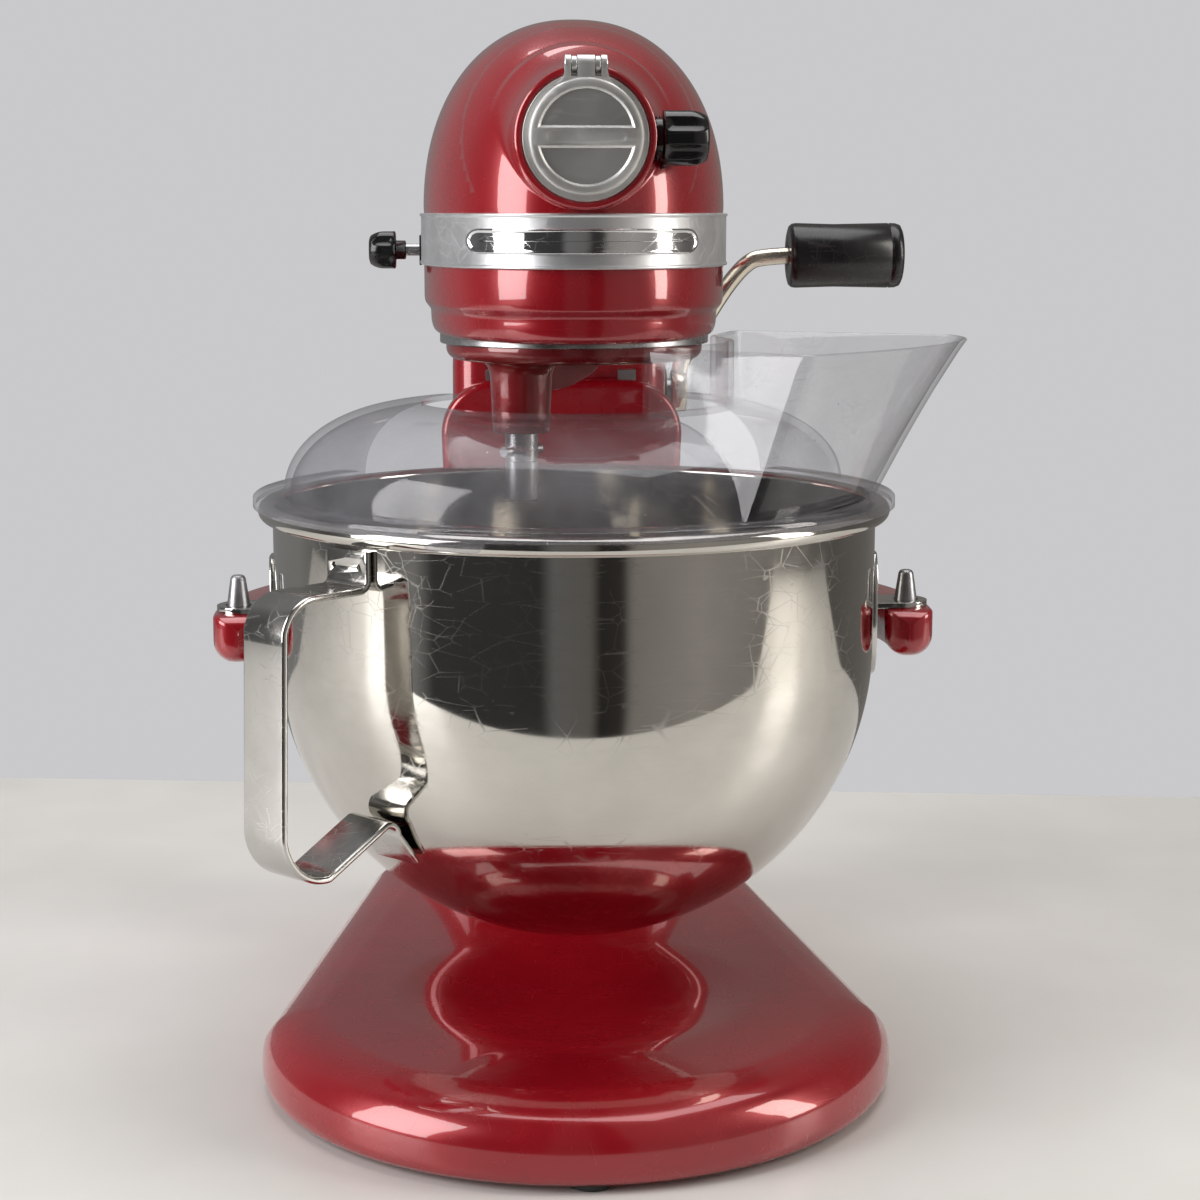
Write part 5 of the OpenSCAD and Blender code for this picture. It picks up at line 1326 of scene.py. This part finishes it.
def chute_edge(t, inward=0.0, per=5, ease=3):
    """Anticlockwise outline of the chute: t is 0 at its foot and 1 at its mouth."""
    ring = shield_hole_r + 0.5
    a, f = polar(ring, -69), polar(ring, 24)
    b = polar(flange_in + 4, -61) * (1 - t) + np.array([77, -108]) * t
    c = polar(flange_in + 3.5, -4) * (1 - t) + np.array([152, -12]) * t
    d = polar(flange_in + 3, 14) * (1 - t) + np.array([156, 30]) * t
    e = polar(84, 34) * (1 - t) + np.array([70, 70]) * t
    bulge = 0.138 * (1 - t) + 0.07 * t
    line = between(a, b, 8 * per)
    for i, p in enumerate(between(b, c, 12 * per)):
        u = i / (12 * per)
        line.append(p * (1 + 4 * u * (1 - u) * bulge))
    for i, p in enumerate(between(c, d, 4 * per)):
        line.append(p * (1 + math.sin(math.radians(45 * i / per)) * 0.02))
    line += between(d, e, 8 * per) + between(e, f, 3 * per)
    line += [polar(ring, 24 - 93 * i / (10 * per)) for i in range(10 * per)]
    line = np.array(line)
    for _ in range(ease):
        line = (np.roll(line, 1, 0) + 2 * line + np.roll(line, -1, 0)) / 4
    along = np.roll(line, -1, 0) - np.roll(line, 1, 0)
    along = along / np.linalg.norm(along, axis=1)[:, None]
    return line + inward * np.column_stack([-along[:, 1], along[:, 0]])


def chute_ring(t, inward, lift=0.0):
    low, high = chute_edge(0, inward), chute_edge(1, inward)
    foot = dome_z(np.linalg.norm(low, axis=1)) + 0.2
    flat = low * (1 - t) + high * t
    return np.column_stack([flat, foot * (1 - t) + chute_top * t + lift])


# %% The shield and the chute
shield = raw_object("shield_dome", arc_sweep(section, -220, 262, 262))
carve(shield, prism(chute_edge(0, shield_t), flange_z - 10, 400))
clip = [(flange_out - 0.6, 0.9), (flange_out + 0.5, 1.2), (flange_out + 0.9, 0.9),
        (flange_out + 0.9, -5.2), (flange_out + 0.4, -5.9), (flange_out - 0.2, -5.9),
        (flange_out - 0.6, -5.2)]
hook = []
hook_turns = [np.linspace(-6, -3.4, 12), np.linspace(-3, 3, 10), np.linspace(3.4, 6, 12)]
for turn in np.concatenate(hook_turns):
    drop = 1 - min(max((abs(turn) - 3.4) / 2.6, 0), 1) ** 2.2
    a = math.radians(-112 + turn)
    hook.append([(r * math.cos(a), r * math.sin(a),
                  flange_z + (z if z > 0 else z * drop + 0.3 * (1 - drop))) for r, z in clip])
carve(shield, skin(hook, "flat", "flat"), "UNION")
finish_piece(shield, "shield", "clear_plastic", clear, "pouring_shield", sharp=46)
heights = np.linspace(0, 1, 14)
walls_out = [chute_ring(t, 0.0) for t in heights[:-1]] + [chute_ring(1, 0.0, -0.5), chute_ring(1, 0.5)]
walls_in = [chute_ring(1, shield_t - 0.5), chute_ring(1, shield_t, -0.5)]
walls_in += [chute_ring(t, shield_t) for t in heights[-2::-1]]
chute = raw_object("pouring_chute_wall", skin(walls_out + walls_in, around=True))
finish_piece(chute, "shield", "clear_plastic", clear_chute, "pouring_chute", sharp=46)

# %% [markdown]
# ## The mechanism inside
#
# The gears, shafts, motor and lift linkage keep the mechanical model's own meshes, which are exact.
# They only need finishes. One table gives each of them its material, so that none is
# forgotten, and the loop fails loudly if a name is wrong.

# %% Finishes for the inner parts
inner_finishes = {
    plain_steel: ["column_bolts", "guide_rails", "slide_keeper", "lift_rod", "lift_shaft", "hub_hinge_pin",
                  "attachment_screw", "speed_lever", "speed_link", "beater_cross_pin", "centre_shaft",
                  "idler_shaft", "motor_shaft", "hub_shaft"],
    gear_steel: ["ring_gear", "beater_pinion", "centre_gear", "crown_gear", "idler_pinion", "motor_worm",
                 "hub_pinion", "lift_spring"],
    cast: ["gearbox_plate", "motor_brackets"],
    bronze: ["worm_gear"],
    iron: ["motor_rotor", "motor_field"],
    copper: ["motor_commutator"],
    dark: ["brush_holders", "motor_fan"],
    carbon: ["carbon_brushes"],
    board: ["speed_control_board"],
}
for material, names in inner_finishes.items():
    for name in names:
        inner_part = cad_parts[name]
        inner_part.data.materials.clear()
        inner_part.data.materials.append(material)
        inner_part.data.shade_smooth()
        inner_part.data.set_sharp_from_angle(angle=math.radians(30))
print("inner parts finished:", sum(len(names) for names in inner_finishes.values()))

# %% [markdown]
# ## The studio
#
# The mixer stands on a pale worktop whose front edge lies just in front of it. Soft light comes
# from a large window on the left, a smaller one on the right, and from above. The room in front
# is dim with a few lighter upright streaks, such as a doorway and a pale wall. The polished bowl
# shows them: dark above, where it mirrors the room, and pale below, where it mirrors the
# worktop. The backdrop is a plain pale grey that only the camera sees, so that it doesn't
# wash out the reflections.

# %% The worktop
top_half, top_front, back_left, back_right = 1500.0, -430.0, 654.0, 284.0
corners = [(-top_half, top_front), (top_half, top_front), (top_half, back_right), (-top_half, back_left)]
table_top = raw_object("worktop", prism(corners, -30, 0))
laminate, tree, shader = new_material("pale worktop", Metallic=0.0)
marks = use(tree, specks, Spacing_mm=60.0, Size=0.05, Share=0.2)
clouds = use(tree, polish, Size_mm=220.0)
tone = mix_colours(tree, clouds, (0.70, 0.69, 0.665, 1), (0.76, 0.75, 0.73, 1))
tone = mix_colours(tree, calc(tree, "MULTIPLY", marks, 0.5), tone, (0.35, 0.33, 0.31, 1))
level = use(tree, polish, Size_mm=90.0, Low=0.32, High=0.46)
feed(tree, shader, Base_Color=tone, Roughness=level)
table_top.data.materials.append(laminate)

# %% The lights
def soft_light(name, place, target, width, height, power, colour):
    lamp = bpy.data.lights.new(name, "AREA")
    lamp.shape = "RECTANGLE"
    lamp.size, lamp.size_y = width, height
    lamp.energy = power
    lamp.color = colour
    made = bpy.data.objects.new(name, lamp)
    made.location = place
    made.rotation_euler = (Vector(target) - Vector(place)).to_track_quat("-Z", "Y").to_euler()
    bpy.context.scene.collection.objects.link(made)
    return made


soft_light("left window", (-1.35, -0.55, 0.75), (0, 0, 0.25), 0.9, 1.3, 24, (1.0, 0.98, 0.97))
soft_light("right window", (1.3, -0.25, 0.65), (0, 0, 0.25), 0.35, 1.0, 9, (1.0, 0.95, 0.88))
soft_light("ceiling", (0.1, 0.25, 1.7), (0, 0, 0.1), 1.6, 1.3, 18, (1.0, 1.0, 1.0))

# %% The room and the backdrop
world = bpy.data.worlds.new("dim room")
bpy.context.scene.world = world
world.use_nodes = True
tree = world.node_tree
room = tree.nodes["Background"]
direction = node(tree, "TexCoord").outputs["Generated"]
seen_way = node(tree, "SeparateXYZ", {0: direction}).outputs
around = calc(tree, "ARCTAN2", seen_way[0], calc(tree, "MULTIPLY", seen_way[1], -1.0))
streaks = node(tree, "ValToRGB", {0: remap(tree, around, -math.pi, math.pi)})
ramp = streaks.color_ramp
stops = [(-180, 0.22), (-128, 0.26), (-100, 0.10), (-75, 0.22), (-64, 0.26), (-56, 0.05), (-15, 0.04),
         (-10, 0.16), (3, 0.15), (7, 0.03), (15, 0.04), (19, 0.26), (45, 0.36), (74, 0.26), (110, 0.12),
         (180, 0.22)]
ramp.elements[1].position = 1.0
for place, level in stops:
    at = (place + 180) / 360
    stop = ramp.elements[0] if at == 0 else ramp.elements[-1] if at == 1 else ramp.elements.new(at)
    warm = 1.0 if place < 0 else 0.88
    stop.color = (level, level * (0.5 + 0.5 * warm), level * warm, 1)
tree.links.new(streaks.outputs[0], room.inputs["Color"])
room.inputs["Strength"].default_value = 0.9
wall = node(tree, "Background", {"Color": (0.585, 0.585, 0.60, 1), "Strength": 1.0})
seen = node(tree, "LightPath").outputs["Is Camera Ray"]
both = node(tree, "MixShader", {0: seen, 1: room.outputs[0], 2: wall.outputs[0]})
tree.links.new(both.outputs[0], tree.nodes["World Output"].inputs["Surface"])

# %% The camera
view = bpy.data.cameras.new("camera")
view.lens = 70.16
view.sensor_width = 36
camera = bpy.data.objects.new("camera", view)
camera.location = (-0.03954, -0.9196, 0.3451)
camera.rotation_euler = (math.pi / 2 - 0.164, 0, -0.054)
bpy.context.scene.collection.objects.link(camera)
bpy.context.scene.camera = camera
bpy.context.scene.view_settings.view_transform = "Standard"
